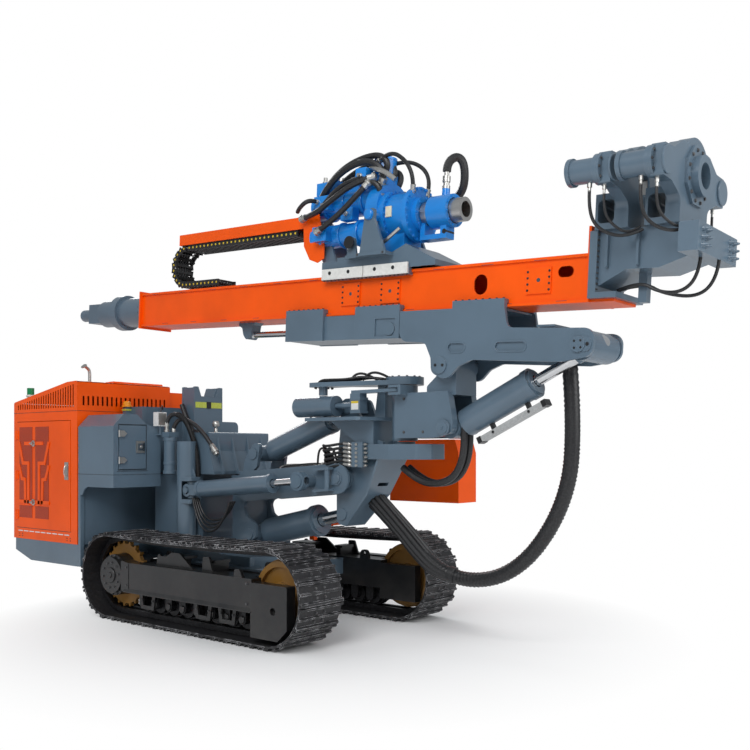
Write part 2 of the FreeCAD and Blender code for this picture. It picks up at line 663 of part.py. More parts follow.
def bracket():
    """L-shaped plates under the mast that turn on the tilt pin, with rimmed blind recesses."""
    profile = [(-430, 452), (-430, 200, 90), (-160, 188, 60), (-95, 60, 60), (-85, -60, 70),
               (70, -125, 100), (180, -10, 60), (300, 40, 90), (1090, 18, 120), (1345, 60, 85),
               (1345, 262, 85), (1090, 268, 80), (620, 285, 60), (585, 452)]
    plate = plate_xz(profile, -250, -222)
    rims = []
    for x0, x1 in ((75, 235), (520, 790)):
        left = (x0 + 35, 140)
        right = (x1 - 35, 140)
        plate = plate.cut(link_xz(left, 34, right, 34, -251, -238))
        rims.append(link_xz(left, 44, right, 44, -256, -250).cut(link_xz(left, 34, right, 34, -257, -249)))
    lock = plate_xz([(1195, 90, 20), (1330, 90, 50), (1330, 200, 50), (1195, 200, 20)], -258, -250)
    outer = [plate, lock] + rims
    web = box(-330, -200, -222, 222, 215, 235)
    top = box(-430, 560, -222, 222, 428, 445)
    stay = pin_y((420, 200), 50, -222, 222)
    bosses = both(pin_y((0, 0), 70, -262, -250)) + both(pin_y(TILT_HEAD, 58, -266, -250))
    shape = on_mast(join(outer + [mirrored(part) for part in outer] + [web, top, stay] + bosses
                         + flange_clamp(100, 585)))
    seat = on_mast(box(860, 1010, 70, 223, 262, 284))
    tie = on_mast(box(860, 1010, -223, 223, 284, 300))
    end = V(*HOSE_ROUTE[0])
    gland = bar(tuple(end), tuple(end + unit(end - V(*HOSE_ROUTE[1])) * 50), GLAND_R)
    return join([shape, seat, tie, gland])


def flange_clamp(x0, x1):
    """Pair of cheeks that hold the mast's lower lips so that it can slide."""
    pieces = []
    for side in (-1, 1):
        cheek = [(206, 440), (250, 440), (250, 512), (188, 512), (188, 482), (206, 482)]
        points = [(y * side, z) for y, z in cheek]
        pieces.append(plate_yz(points, x0, x1))
    return pieces


def cradle():
    """Beam behind the bracket that guides the mast and houses the slide cylinder."""
    beam = box(-1780, -436, -222, 222, 232, 446)
    beam = beam.cut(box(-1781, -435, -206, 206, 250, 428))
    walls = [box(x0, x1, y, y + 28, 228, 452) for x0, x1 in ((-1780, -1310), (-930, -435))
             for y in (-250, 222)]
    shape = join([beam] + walls + flange_clamp(-1780, -1310) + flange_clamp(-930, -436))
    recess = box(-700, -480, -251, -236, 250, 400)
    pin = pin_y((-546, 312), 55, -247, -235)
    shape = join([shape.cut(recess), pin])
    return on_mast(shape)


def mast_beam():
    """Long box beam with lips along all four edges."""
    x0 = MAST_REAR
    x1 = MAST_FRONT
    outer = box(x0, x1, -182, 182, MAST_LOW, MAST_HIGH)
    lips = [box(x0, x1, -MAST_HALF, MAST_HALF, MAST_LOW, MAST_LOW + LIP),
            box(x0, x1, -MAST_HALF, MAST_HALF, MAST_HIGH - LIP, MAST_HIGH)]
    beam = join([outer] + lips)
    beam = beam.cut(box(x0 - 1, x1 + 1, -172, 172, MAST_LOW + 12, MAST_HIGH - 12))
    holes = [link_xz((317, 622), 62, (317, 658), 62, -260, 260),
             link_xz((1038, 690), 41, (1085, 690), 41, -260, 260)]
    beam = beam.cut(Part.makeCompound(holes))
    pads = []
    for pad_x in (-1040, -594, 841):
        pad = box(pad_x - 106, pad_x + 106, -196, -181, 537, 735)
        pads.append(pad.cut(pin_y((pad_x, 640), 16, -200, -185)))
    rear = plate_yz([(-215, 430), (215, 430), (215, 830), (-215, 830)], x0 - 20, x0)
    front = box(x1 - 20, x1, -215, 215, MAST_LOW, 1000)
    toe = box(x1, 1455, -190, 190, MAST_LOW, MAST_LOW + 20)
    return on_mast(join([beam, rear, front, toe] + pads))


def feed_drive():
    """Gearbox, motor housing and motor at the mast's rear end."""
    z = 640
    x = MAST_REAR - 20
    drums = ((0, 60, 190), (60, 480, 165), (480, 600, 198), (600, 900, 150), (1110, 1360, 70))
    parts = [bar((x - start, 0, z), (x - end, 0, z), r) for start, end, r in drums]
    parts.append(box(x - 1120, x - 890, -110, 110, z - 110, z + 110))
    return on_mast(join(parts))


def slide_rod():
    """Rod of the slide cylinder and the hook that ties it to the mast's underside."""
    rod = bar((-2452, 0, SLIDE_ROD_Z), (-900, 0, SLIDE_ROD_Z), 30)
    hook = plate_xz([(-2640, 452), (-2640, 425), (-2590, 400), (-2570, 330, 40), (-2520, 275, 30),
                     (-2460, 330, 20), (-2440, 425), (-2400, 452)], -60, 60)
    return on_mast(join([rod, hook]))


def carriage():
    """Slide of the drill head: guide cheeks, wedge deck and the two trunnion uprights."""
    deck = plate_xz([(-1360, 822), (-1360, 930), (-1180, 930), (-1180, 960), (-560, 960), (-410, 1020),
                     (-390, 1010), (-100, 870), (-100, 822)], -235, 235)
    deck = deck.cut(box(-1340, -130, -215, 215, 822, 850))
    parts = [deck]
    for side in (-1, 1):
        cheek = [(206, 824), (244, 824), (244, 762), (188, 762), (188, 780), (206, 780)]
        parts.append(plate_yz([(y * side, z) for y, z in cheek], -1340, -360))
    upright = plate_xz([(-840, 955), (-560, 955), (-690, 1240), (-690, 1330, 20), (-800, 1330, 20),
                        (-800, 1240)], -330, -300)
    shoe = box(-880, -540, -345, -230, 930, 957)
    clevis = plate_xz([(-1010, 958), (-900, 958), (-925, 1110, 25), (-985, 1110, 25)], -300, -280)
    parts += both(upright) + both(shoe) + both(clevis)
    parts.append(box(-1030, -879, -300, 300, 930, 959))
    tray_arm = plate_xz([(-1780, 1392), (-1620, 1392), (-1440, 1300, 110), (-1300, 932), (-1340, 880),
                         (-1430, 880, 40), (-1600, 1240, 90), (-1780, 1330, 30)], -110, -90)
    return on_mast(join(parts + both(tray_arm)))


def guide_pads():
    pads = []
    for side in (-1, 1):
        for x0, x1 in ((-1335, -855), (-845, -365)):
            y0, y1 = sorted((side * 245, side * 262))
            pads.append(on_mast(box(x0, x1, y0, y1, 768, 862)))
    return pads


def drill_head():
    """Rotary gearbox with its two motors, the swivel and the front foot."""
    z = BORE_Z
    body = join([bar((-870, 0, z + 60), (-740, 0, z + 60), 240), bar((-740, 0, z), (-680, 0, z), 235),
                 bar((-680, 0, z), (-480, 0, z), 205), bar((-480, 0, z), (-435, 0, z), 235),
                 bar((-435, 0, z), (-390, 0, z), 150)])
    foot = box(-800, -520, -120, 120, 962, z)
    motors = [bar((-1640, 0, z + 180), (-860, 0, z + 180), 118),
              bar((-1600, -60, z - 110), (-860, -60, z - 110), 105)]
    top = join([bar((-860, 0, z + 300), (-860, 0, z + 520), 100),
                box(-960, -760, -100, 100, z + 180, z + 380)])
    swivel = bar((-300, 0, z), (-90, 0, z), 138)
    port = bar((-190, 0, z + 120), (-190, 0, z + 190), 34)
    hanger = plate_xz([(-400, z - 100), (-400, z - 231), (-130, z - 231), (-130, z - 110), (-190, z - 110),
                       (-190, z - 190), (-350, z - 190), (-350, z - 100)], -60, 60)
    trunnions = both(pin_y((-746, 1280), 48, -342, -200))
    head = join([body, foot, top, swivel, port, hanger] + motors + trunnions)
    return on_mast(head.cut(bar((-392, 0, z), (-89, 0, z), 106)))


def spindle():
    z = BORE_Z
    tube = bar((-384, 0, z), (20, 0, z), 100)
    return on_mast(tube.cut(bar((-240, 0, z), (21, 0, z), 66)))


def chain_tray():
    """Long cover that carries the energy chain's upper run."""
    tray = box(-3530, -1597, -140, 140, 1290, 1400)
    return on_mast(tray.cut(box(-3520, -1596, -132, 132, 1289, 1392)))


def energy_chain():
    """Cable chain: upper run under the tray, a bend, and a lower run on the mast."""
    r_out = 225
    r_in = 160
    z = 1070
    bend_x = -3450
    ring = ring_y((bend_x, z), r_out, r_in, -120, 120)
    ring = ring.common(box(bend_x - 300, bend_x, -121, 121, z - 300, z + 300))
    upper = box(bend_x, -1800, -120, 120, z + r_in, z + r_out)
    lower = box(bend_x, -2900, -120, 120, z - r_out, z - r_in)
    return on_mast(join([ring, upper, lower]))


def clamp_frame():
    """Front plate and gusset beam that hold the two rod clamps."""
    plate = box(1272, 1331, -240, 240, 473, 955)
    side = [(1330, 562), (1541, 672), (1775, 665), (1985, 732), (1985, 955), (1330, 955)]
    sides = [plate_xz(side, -200, -180), plate_xz(side, 180, 200)]
    top = box(1330, 1985, -180, 180, 930, 955)
    low = plate_xz([(1330, 562), (1541, 672), (1775, 665), (1985, 732), (1985, 752), (1775, 685),
                    (1538, 692), (1330, 584)], -180, 180)
    ribs = []
    for x in (1392, 1624):
        for y in (-235, 200):
            ribs.append(box(x, x + 18, y, y + 35, 690, 930))
    leg = box(1568, 1632, -35, 35, 455, 690)
    shelf = box(1330, 1489, -240, 240, 473, 515)
    return on_mast(join([plate, top, low, leg, shelf, spike_foot()] + sides + ribs))


def clamp_plate(x, ring):
    """Portal with a round head, filleted arms, end cylinders and a windowed box column."""
    z = BORE_Z
    face = [(-250, 956), (250, 956), (250, 1120, 70), (420, 1195, 60), (560, 1200, 15), (560, 1410, 15),
            (400, 1415, 60), (250, 1500, 60), (-250, 1500, 60), (-400, 1415, 60), (-560, 1410, 15),
            (-560, 1200, 15), (-420, 1195, 60), (-250, 1120, 70)]
    portal = plate_yz(face, x - 45, x + 45)
    head = bar((x - 45, 0, z + 10), (x + 45, 0, z + 10), 255)
    column = box(x - 205, x - 40, -250, 250, 956, 1208)
    column = column.cut(box(x - 180, x - 44, -225, 225, 975, 1190))
    window = plate_xz([(x - 185, 1000, 35), (x - 60, 1000, 35), (x - 60, 1165, 35), (x - 185, 1165, 35)],
                      -260, 260)
    parts = [portal, head, column.cut(window)]
    for side in (-1, 1):
        for start, end, radius in ((-275, -245, 98), (-246, -44, 85), (-70, -20, 105)):
            parts.append(bar((x + start, side * 515, z), (x + end, side * 515, z), radius))
    if ring:
        turns = [math.radians(22.5 + 45 * i) for i in range(8)]
        parts.append(plate_yz([(215 * math.cos(t), z + 215 * math.sin(t)) for t in turns], x + 44, x + 66))
        parts.append(bar((x + 65, 0, z), (x + 115, 0, z), 142))
    bore = bar((x - 210, 0, z), (x + 200, 0, z), 90)
    channel = box(x - 30, x + 30, -420, 420, z - 56, z + 56)
    return join(parts).cut(bore).cut(channel)


def jaw(x, side):
    """Clamp jaw that slides in the plate's arm towards the bore."""
    z = BORE_Z
    y0, y1 = sorted((side * 95, side * 330))
    block = box(x - 24, x + 24, y0, y1, z - 50, z + 50)
    return on_mast(block)


def spike_foot():
    """Block under the front clamp with rows of pointed studs on its face."""
    block = box(1976, 2110, -375, 375, 730, 925)
    studs = []
    for y in (-300, -225, 225, 300):
        for z in (775, 828, 881):
            studs.append(Part.makeCone(20, 6, 45, V(2109, y, z), V(1, 0, 0)))
    return join([block] + studs)


def hose_loop():
    """Sleeved hose bundle in a loop: straight runs joined by tangent arcs."""
    points = [V(*p) for p in HOSE_ROUTE]
    edges = []
    end = points[0]
    for i in range(1, len(points) - 1):
        back = unit(points[i - 1] - points[i])
        ahead = unit(points[i + 1] - points[i])
        half = back.getAngle(ahead) / 2
        reach = 0.45 * min((points[i - 1] - points[i]).Length, (points[i + 1] - points[i]).Length)
        radius = reach * math.tan(half)
        print("hose radius", round(radius), "at", HOSE_ROUTE[i])
        inward = unit(back + ahead)
        middle = points[i] + inward * (reach / math.cos(half) - radius)
        start = points[i] + back * reach
        edges.append(Part.LineSegment(end, start).toShape())
        end = points[i] + ahead * reach
        edges.append(Part.Arc(start, middle, end).toShape())
    edges.append(Part.LineSegment(end, points[-1]).toShape())
    circle = Part.Wire([Part.Circle(points[0], points[1] - points[0], HOSE_R).toShape()])
    return Part.Wire(edges).makePipeShell([circle], True, True)


def main():
    loop = track()
    save("track_right", [mirrored(loop)])
    save("track_left", [loop])
    chains = track_chain()
    save("track_chains", chains + [mirrored(c) for c in chains])
    save("sprockets", both(sprocket()))
    save("idlers", both(idler()))
    save("track_frames", both(track_frame()) + both(drive_hub()))
    rows = rollers()
    save("rollers", rows + [mirrored(r) for r in rows])
    save("car_body", [car_body()])
    save("rear_base", [rear_base()])
    save("engine_hood", [engine_hood()])
    save("engine_door", [engine_door()])
    save("engine_block", [engine_block()])
    save("hydraulic_tank", [tank()])
    save("deck", [fender(), deck_box(), filter_can()])
    save("control_box", [control_box()])
    save("control_door", [control_door()])
    save("mast_rest", [mast_rest()])
    save("bridge", [bridge()])
    save("swing_posts", both(swing_post()))
    save("console", [console()])
    save("beacon", [join([beacon_base(), beacon()])])
    save("exhaust", [exhaust()])
    save("turret", [turret()])
    save("boom_arm", [boom_arm()])
    save("boom_post", [boom_post()])
    barrel, rod = cylinder_pair(at_y(STRUT_BASE, 0), at_y(STRUT_HEAD, 0), 108, 48, 116, (78, 66),
                                (156, 88), 904, 300)
    save("strut_barrel", [barrel])
    save("strut_rod", [rod])
    barrel, rod = cylinder_pair(at_y(LIFT_BASE, 0), at_y(LIFT_HEAD, 0), 130, 58, 150, (82, 68),
                                (156, 88), 777, 300)
    save("lift_barrel", [barrel])
    save("lift_rod", [rod])
    barrel, rod = cylinder_pair(at_y(TILT_BASE, 0), at_y(mast_point(*TILT_HEAD), 0), 118, 46, 126,
                                (90, 115), (112, 212), 800, 545)
    save("tilt_barrel", [barrel])
    save("tilt_rod", [rod])
    for name, side in (("right", -1), ("left", 1)):
        save("swing_knuckle_" + name, [knuckle(side)])
        barrel, rod = swing_cylinder(side)
        save("swing_barrel_" + name, [barrel])
        save("swing_rod_" + name, [rod])
    save("swivel_block", [swivel_block()])
    save("swivel_barrel", [swivel_barrel()])
    save("swivel_rod", [swivel_rod()])
    save("mast_bracket", [bracket()])
    save("mast_cradle", [cradle()])
    save("mast_beam", [mast_beam()])
    save("slide_rod", [slide_rod()])
    save("feed_drive", [feed_drive()])
    head = drill_head()
    save("carriage", [carriage().cut(head)])
    save("guide_pads", guide_pads())
    save("drill_head", [head])
    save("spindle", [spindle()])
    save("chain_tray", [chain_tray().cut(head)])
    save("energy_chain", [energy_chain()])
    save("clamp_frame", [clamp_frame()])
    save("rear_clamp", [on_mast(clamp_plate(REAR_CLAMP_X, False))])
    save("front_clamp", [on_mast(clamp_plate(FRONT_CLAMP_X, True))])
    for name, x in (("rear", REAR_CLAMP_X), ("front", FRONT_CLAMP_X)):
        save(name + "_jaw_right", [jaw(x, -1)])
        save(name + "_jaw_left", [jaw(x, 1)])
    save("hose_loop", [hose_loop()])


main()
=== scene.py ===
"""Looks of a tracked drilling rig. Metres, X forward, Y to its left, Z up, ground at Z = 0."""
import math

import bmesh
import bpy
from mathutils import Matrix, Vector

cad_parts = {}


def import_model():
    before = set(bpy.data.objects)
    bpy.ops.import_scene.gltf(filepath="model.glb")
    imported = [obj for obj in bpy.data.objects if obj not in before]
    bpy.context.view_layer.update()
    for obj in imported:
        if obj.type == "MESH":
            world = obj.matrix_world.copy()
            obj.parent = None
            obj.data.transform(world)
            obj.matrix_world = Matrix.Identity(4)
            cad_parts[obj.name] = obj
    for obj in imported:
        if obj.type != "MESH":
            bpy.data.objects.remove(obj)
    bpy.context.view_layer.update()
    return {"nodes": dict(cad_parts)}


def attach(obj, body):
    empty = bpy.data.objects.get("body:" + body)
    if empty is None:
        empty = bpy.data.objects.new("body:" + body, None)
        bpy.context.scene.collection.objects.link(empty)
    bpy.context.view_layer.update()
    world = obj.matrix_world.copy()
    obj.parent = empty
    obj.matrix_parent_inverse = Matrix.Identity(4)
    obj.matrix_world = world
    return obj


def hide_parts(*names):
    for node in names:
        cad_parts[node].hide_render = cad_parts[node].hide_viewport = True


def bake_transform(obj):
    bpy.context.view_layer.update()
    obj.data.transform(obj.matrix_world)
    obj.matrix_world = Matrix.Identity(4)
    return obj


# Driving sizes, with the mast's own lengths taken from the tilt pin

MID_X = 0.640
MAST_DIP = math.radians(3.04)
TILT_PIN = (2.251, 2.338)
BORE_Z = 1.305
CLAMP_X = (1.495, 1.865)
CLAMP_Y = 0.515
MAST_PAD_X = (-1.040, -0.594, 0.841)
DOOR_Y = -1.104

# Colours and directions that several pieces share

BLUE_GREY = (0.105, 0.160, 0.215)
CHROME = (0.78, 0.79, 0.80)
PAINT_CHANGE = 0.16
UP = Vector((0, 0, 1))
RIGHT = Vector((0, -1, 0))


def at(x, y, z):
    """Point given in the machine's own lengths, about the middle of the tracks."""
    return Vector((x - MID_X, y, z))


def on_mast(x, y, z):
    """Point given along the mast from the tilt pin, across it and square to it."""
    turned_x = x * math.cos(MAST_DIP) + z * math.sin(MAST_DIP)
    turned_z = z * math.cos(MAST_DIP) - x * math.sin(MAST_DIP)
    return at(TILT_PIN[0] + turned_x, y, TILT_PIN[1] + turned_z)


def mast_way(x, y, z):
    """Direction given in the mast's frame."""
    return on_mast(x, y, z) - on_mast(0, 0, 0)


MAST_AHEAD = mast_way(1, 0, 0)
MAST_BACK = mast_way(-1, 0, 0)
MAST_UP = mast_way(0, 0, 1)
MAST_DOWN = mast_way(0, 0, -1)
TILT_FOOT = at(2.26, 0, 1.832)
TILT_EYE = on_mast(1.225, 0, 0.144)

# Nodes of materials and geometry


def feed(tree, made, sockets):
    """Links each socket of a node to an output, or gives it a plain value."""
    for key, value in sockets.items():
        if hasattr(value, "links"):
            tree.links.new(value, made.inputs[key])
        else:
            made.inputs[key].default_value = value
    return made


def node(tree, kind, sockets=None, **settings):
    """New node with its settings and its sockets."""
    made = tree.nodes.new(kind)
    for key, value in settings.items():
        setattr(made, key, value)
    return feed(tree, made, sockets or {})


def object_place(tree):
    """Coordinates of the piece itself."""
    return node(tree, "ShaderNodeTexCoord").outputs["Object"]


def facing_way(tree):
    """Direction that the surface looks in."""
    return node(tree, "ShaderNodeNewGeometry").outputs["Normal"]


def height_of(tree, vector):
    """Upward part of a vector."""
    return node(tree, "ShaderNodeSeparateXYZ", {0: vector}).outputs["Z"]


def stretched(tree, vector, scale):
    """Vector with each of its parts scaled."""
    return node(tree, "ShaderNodeMapping", {"Vector": vector, "Scale": scale}).outputs["Vector"]


def math_node(tree, operation, a, b):
    """Result of a sum on two values, kept between 0 and 1."""
    return node(tree, "ShaderNodeMath", {0: a, 1: b}, operation=operation, use_clamp=True).outputs[0]


def vector_node(tree, operation, sockets):
    """Node that works on vectors."""
    return node(tree, "ShaderNodeVectorMath", sockets, operation=operation)


def noise(tree, vector, scale, detail=4.0, rough=0.55):
    """Cloudy value between 0 and 1."""
    made = node(tree, "ShaderNodeTexNoise", {"Vector": vector, "Scale": scale, "Detail": detail,
                                             "Roughness": rough})
    return made.outputs["Fac"]


def ramp(tree, value, low, high):
    """Mask that rises from 0 at low to 1 at high."""
    made = node(tree, "ShaderNodeMapRange", {"Value": value, "From Min": low, "From Max": high})
    return made.outputs["Result"]


def blend_value(tree, mask, low, high):
    """Value that goes from low to high with a mask."""
    made = node(tree, "ShaderNodeMapRange", {"Value": mask, "To Min": low, "To Max": high})
    return made.outputs["Result"]


def mix(tree, mask, a, b):
    """Colour that goes from one to another with a mask."""
    return node(tree, "ShaderNodeMix", {0: mask, 6: a, 7: b}, data_type="RGBA").outputs[2]


def bump(tree, height, strength, distance=0.002):
    """Surface direction that a height gives."""
    made = node(tree, "ShaderNodeBump", {"Height": height, "Strength": strength, "Distance": distance})
    return made.outputs["Normal"]


# Shader groups

FLOAT = "NodeSocketFloat"
COLOR = "NodeSocketColor"


def group_tree(name, inputs, outputs):
    """Empty shader group; inputs are (name, kind, value) and outputs (name, kind)."""
    tree = bpy.data.node_groups.new(name, "ShaderNodeTree")
    for label, kind, value in inputs:
        socket = tree.interface.new_socket(label, in_out="INPUT", socket_type=kind)
        socket.default_value = value
    for label, kind in outputs:
        tree.interface.new_socket(label, in_out="OUTPUT", socket_type=kind)
    given = tree.nodes.new("NodeGroupInput")
    result = tree.nodes.new("NodeGroupOutput")
    return tree, given.outputs, result.inputs


def edge_wear_and_highlight_group():
    """Mask of rubbed edges, broken up by noise; on the track shoes it also carries painted highlight."""
    tree, given, result = group_tree("edge wear and highlight", [("Width", FLOAT, 0.01), ("Amount", FLOAT, 0.5)],
                                     [("Mask", FLOAT)])
    rounded = node(tree, "ShaderNodeBevel", {"Radius": given["Width"]}, samples=4).outputs[0]
    flat = vector_node(tree, "DOT_PRODUCT", {0: rounded, 1: facing_way(tree)}).outputs["Value"]
    broken = ramp(tree, noise(tree, object_place(tree), 14.0), 0.42, 0.62)
    edge = ramp(tree, math_node(tree, "SUBTRACT", 1.0, flat), 0.02, 0.2)
    mask = math_node(tree, "MULTIPLY", edge, broken)
    tree.links.new(math_node(tree, "MULTIPLY", mask, given["Amount"]), result["Mask"])
    return tree


def dust_group():
    """Mask of dust that thins out upwards and gathers on faces that look up."""
    tree, given, result = group_tree("dust", [("Top", FLOAT, 1.0), ("Amount", FLOAT, 0.4)],
                                     [("Mask", FLOAT)])
    place = object_place(tree)
    low = node(tree, "ShaderNodeMapRange", {"Value": height_of(tree, place), "From Max": given["Top"],
                                            "To Min": 1.0, "To Max": 0.0}).outputs["Result"]
    upward = math_node(tree, "MAXIMUM", height_of(tree, facing_way(tree)), 0.0)
    amount = math_node(tree, "ADD", math_node(tree, "MULTIPLY", upward, 0.6), low)
    clumps = ramp(tree, noise(tree, place, 5.0, 6.0, 0.65), 0.35, 0.75)
    mask = math_node(tree, "MULTIPLY", amount, clumps)
    tree.links.new(math_node(tree, "MULTIPLY", mask, given["Amount"]), result["Mask"])
    return tree


def sprayed_group():
    """Paint film: slow changes of shade and the fine waves of a sprayed coat."""
    tree, given, result = group_tree(
        "sprayed film", [("Color", COLOR, (0.5, 0.5, 0.5, 1)), ("Change", FLOAT, 0.15)],
        [("Color", COLOR), ("Height", FLOAT)])
    place = object_place(tree)
    shade = ramp(tree, noise(tree, place, 1.7, 3.0), 0.35, 0.7)
    darker = mix(tree, given["Change"], given["Color"], (0.0, 0.0, 0.0, 1))
    tree.links.new(mix(tree, shade, given["Color"], darker), result["Color"])
    tree.links.new(noise(tree, place, 160.0, 2.0), result["Height"])
    return tree


def grain_group():
    """Fine grain for rubber, cast iron and plastic, with its height."""
    tree, given, result = group_tree(
        "grain", [("Scale", FLOAT, 80.0), ("Color", COLOR, (0.02, 0.02, 0.02, 1)),
                  ("Light", COLOR, (0.06, 0.06, 0.06, 1))],
        [("Color", COLOR), ("Height", FLOAT)])
    fine = noise(tree, object_place(tree), given["Scale"], 5.0, 0.5)
    tree.links.new(mix(tree, ramp(tree, fine, 0.4, 0.75), given["Color"], given["Light"]),
                   result["Color"])
    tree.links.new(fine, result["Height"])
    return tree


GROUPS = {"wear": edge_wear_and_highlight_group(), "dust": dust_group(), "film": sprayed_group(),
          "grain": grain_group()}


def use_group(tree, name, **values):
    """Outputs of a shader group, placed in a material with its own values."""
    return node(tree, "ShaderNodeGroup", values, node_tree=GROUPS[name]).outputs


# Materials


def surface(name, roughness, metallic=0.0, coat=0.0):
    """New material with its shader."""
    material = bpy.data.materials.new(name)
    material.use_nodes = True
    shader = material.node_tree.nodes["Principled BSDF"]
    shader.inputs["Roughness"].default_value = roughness
    shader.inputs["Metallic"].default_value = metallic
    shader.inputs["Coat Weight"].default_value = coat
    return material, material.node_tree, shader


def paint(name, color, roughness=0.32, coat=0.25, dust=0.25, dust_top=1.2, wear=0.5, shine=0.5):
    """Sprayed machine paint with rubbed edges and dust."""
    material, tree, shader = surface(name, roughness, coat=coat)
    film = use_group(tree, "film", Color=color + (1,), Change=PAINT_CHANGE)
    edge_wear_and_highlight = use_group(tree, "wear", Width=0.008, Amount=wear)["Mask"]
    dirty = use_group(tree, "dust", Top=dust_top, Amount=dust)["Mask"]
    pale = tuple(min(1.0, c * 0.8 + 0.10) for c in color)
    base = mix(tree, edge_wear_and_highlight, film["Color"], pale + (1,))
    feed(tree, shader, {"Base Color": mix(tree, dirty, base, (0.33, 0.30, 0.26, 1)),
                        "Roughness": blend_value(tree, dirty, roughness, 0.8),
                        "Specular IOR Level": shine,
                        "Normal": bump(tree, film["Height"], 0.06)})
    return material


def grained(name, color, light, roughness, scale, strength, metallic=0.0):
    """Rubber, plastic or cast metal with a fine grain."""
    material, tree, shader = surface(name, roughness, metallic)
    grain = use_group(tree, "grain", Scale=scale, Color=color + (1,), Light=light + (1,))
    feed(tree, shader, {"Base Color": grain["Color"], "Normal": bump(tree, grain["Height"], strength)})
    return material


def shoe_steel():
    """Black-painted shoes that shine bare on their bars and edges, where the pale colour is partly wear and
    partly painted highlight.
    """
    material, tree, shader = surface("track shoe steel", 0.55)
    grain = use_group(tree, "grain", Scale=45.0, Color=(0.007, 0.007, 0.009, 1),
                      Light=(0.022, 0.022, 0.026, 1))
    edge_wear_and_highlight = use_group(tree, "wear", Width=0.010, Amount=1.0)["Mask"]
    dirty = use_group(tree, "dust", Top=1.0, Amount=0.10)["Mask"]
    # Pale grey on every edge of the shoes: partly bare worn steel, partly painted highlight.
    base = mix(tree, edge_wear_and_highlight, grain["Color"], (0.62, 0.62, 0.64, 1))
    feed(tree, shader, {"Base Color": mix(tree, dirty, base, (0.16, 0.15, 0.13, 1)),
                        "Normal": bump(tree, grain["Height"], 0.25, 0.003)})
    return material


def bright_steel(name, color, roughness, streaks):
    """Machined or plated steel with drawn streaks."""
    material, tree, shader = surface(name, roughness, 1.0)
    fine = noise(tree, stretched(tree, object_place(tree), (1.0, 1.0, streaks)), 30.0, 5.0)
    dark = tuple(c * 0.72 for c in color)
    feed(tree, shader, {"Base Color": mix(tree, fine, color + (1,), dark + (1,)),
                        "Roughness": blend_value(tree, fine, roughness * 0.7, roughness * 1.4)})
    return material


def perforated_sheet():
    """Orange sheet whose rows of small round holes show dark."""
    material, tree, shader = surface("perforated sheet", 0.5)
    flat = stretched(tree, object_place(tree), (1.0, 0.0, 1.0))
    cells = node(tree, "ShaderNodeTexVoronoi", {"Vector": flat, "Scale": 90.0, "Randomness": 0.0})
    hole = ramp(tree, cells.outputs["Distance"], 0.36, 0.30)
    film = use_group(tree, "film", Color=(0.62, 0.06, 0.008, 1), Change=0.2)
    feed(tree, shader, {"Base Color": mix(tree, hole, film["Color"], (0.10, 0.008, 0.003, 1))})
    return material


def plated_rod(name, start, end, radius):
    """Chrome near the rod's axis and grey paint on its eye and head, which stand out from it."""
    material = bright_steel(name, CHROME, 0.14, 1.0)
    tree = material.node_tree
    shader = tree.nodes["Principled BSDF"]
    chrome = shader.inputs["Base Color"].links[0].from_socket
    offset = vector_node(tree, "SUBTRACT", {0: object_place(tree), 1: start}).outputs[0]
    square = vector_node(tree, "CROSS_PRODUCT", {0: offset, 1: (end - start).normalized()}).outputs[0]
    distance = vector_node(tree, "LENGTH", {0: square}).outputs["Value"]
    head = ramp(tree, distance, radius + 0.001, radius + 0.002)
    film = use_group(tree, "film", Color=BLUE_GREY + (1,), Change=PAINT_CHANGE)
    feed(tree, shader, {"Base Color": mix(tree, head, chrome, film["Color"]),
                        "Metallic": math_node(tree, "SUBTRACT", 1.0, head)})
    return material


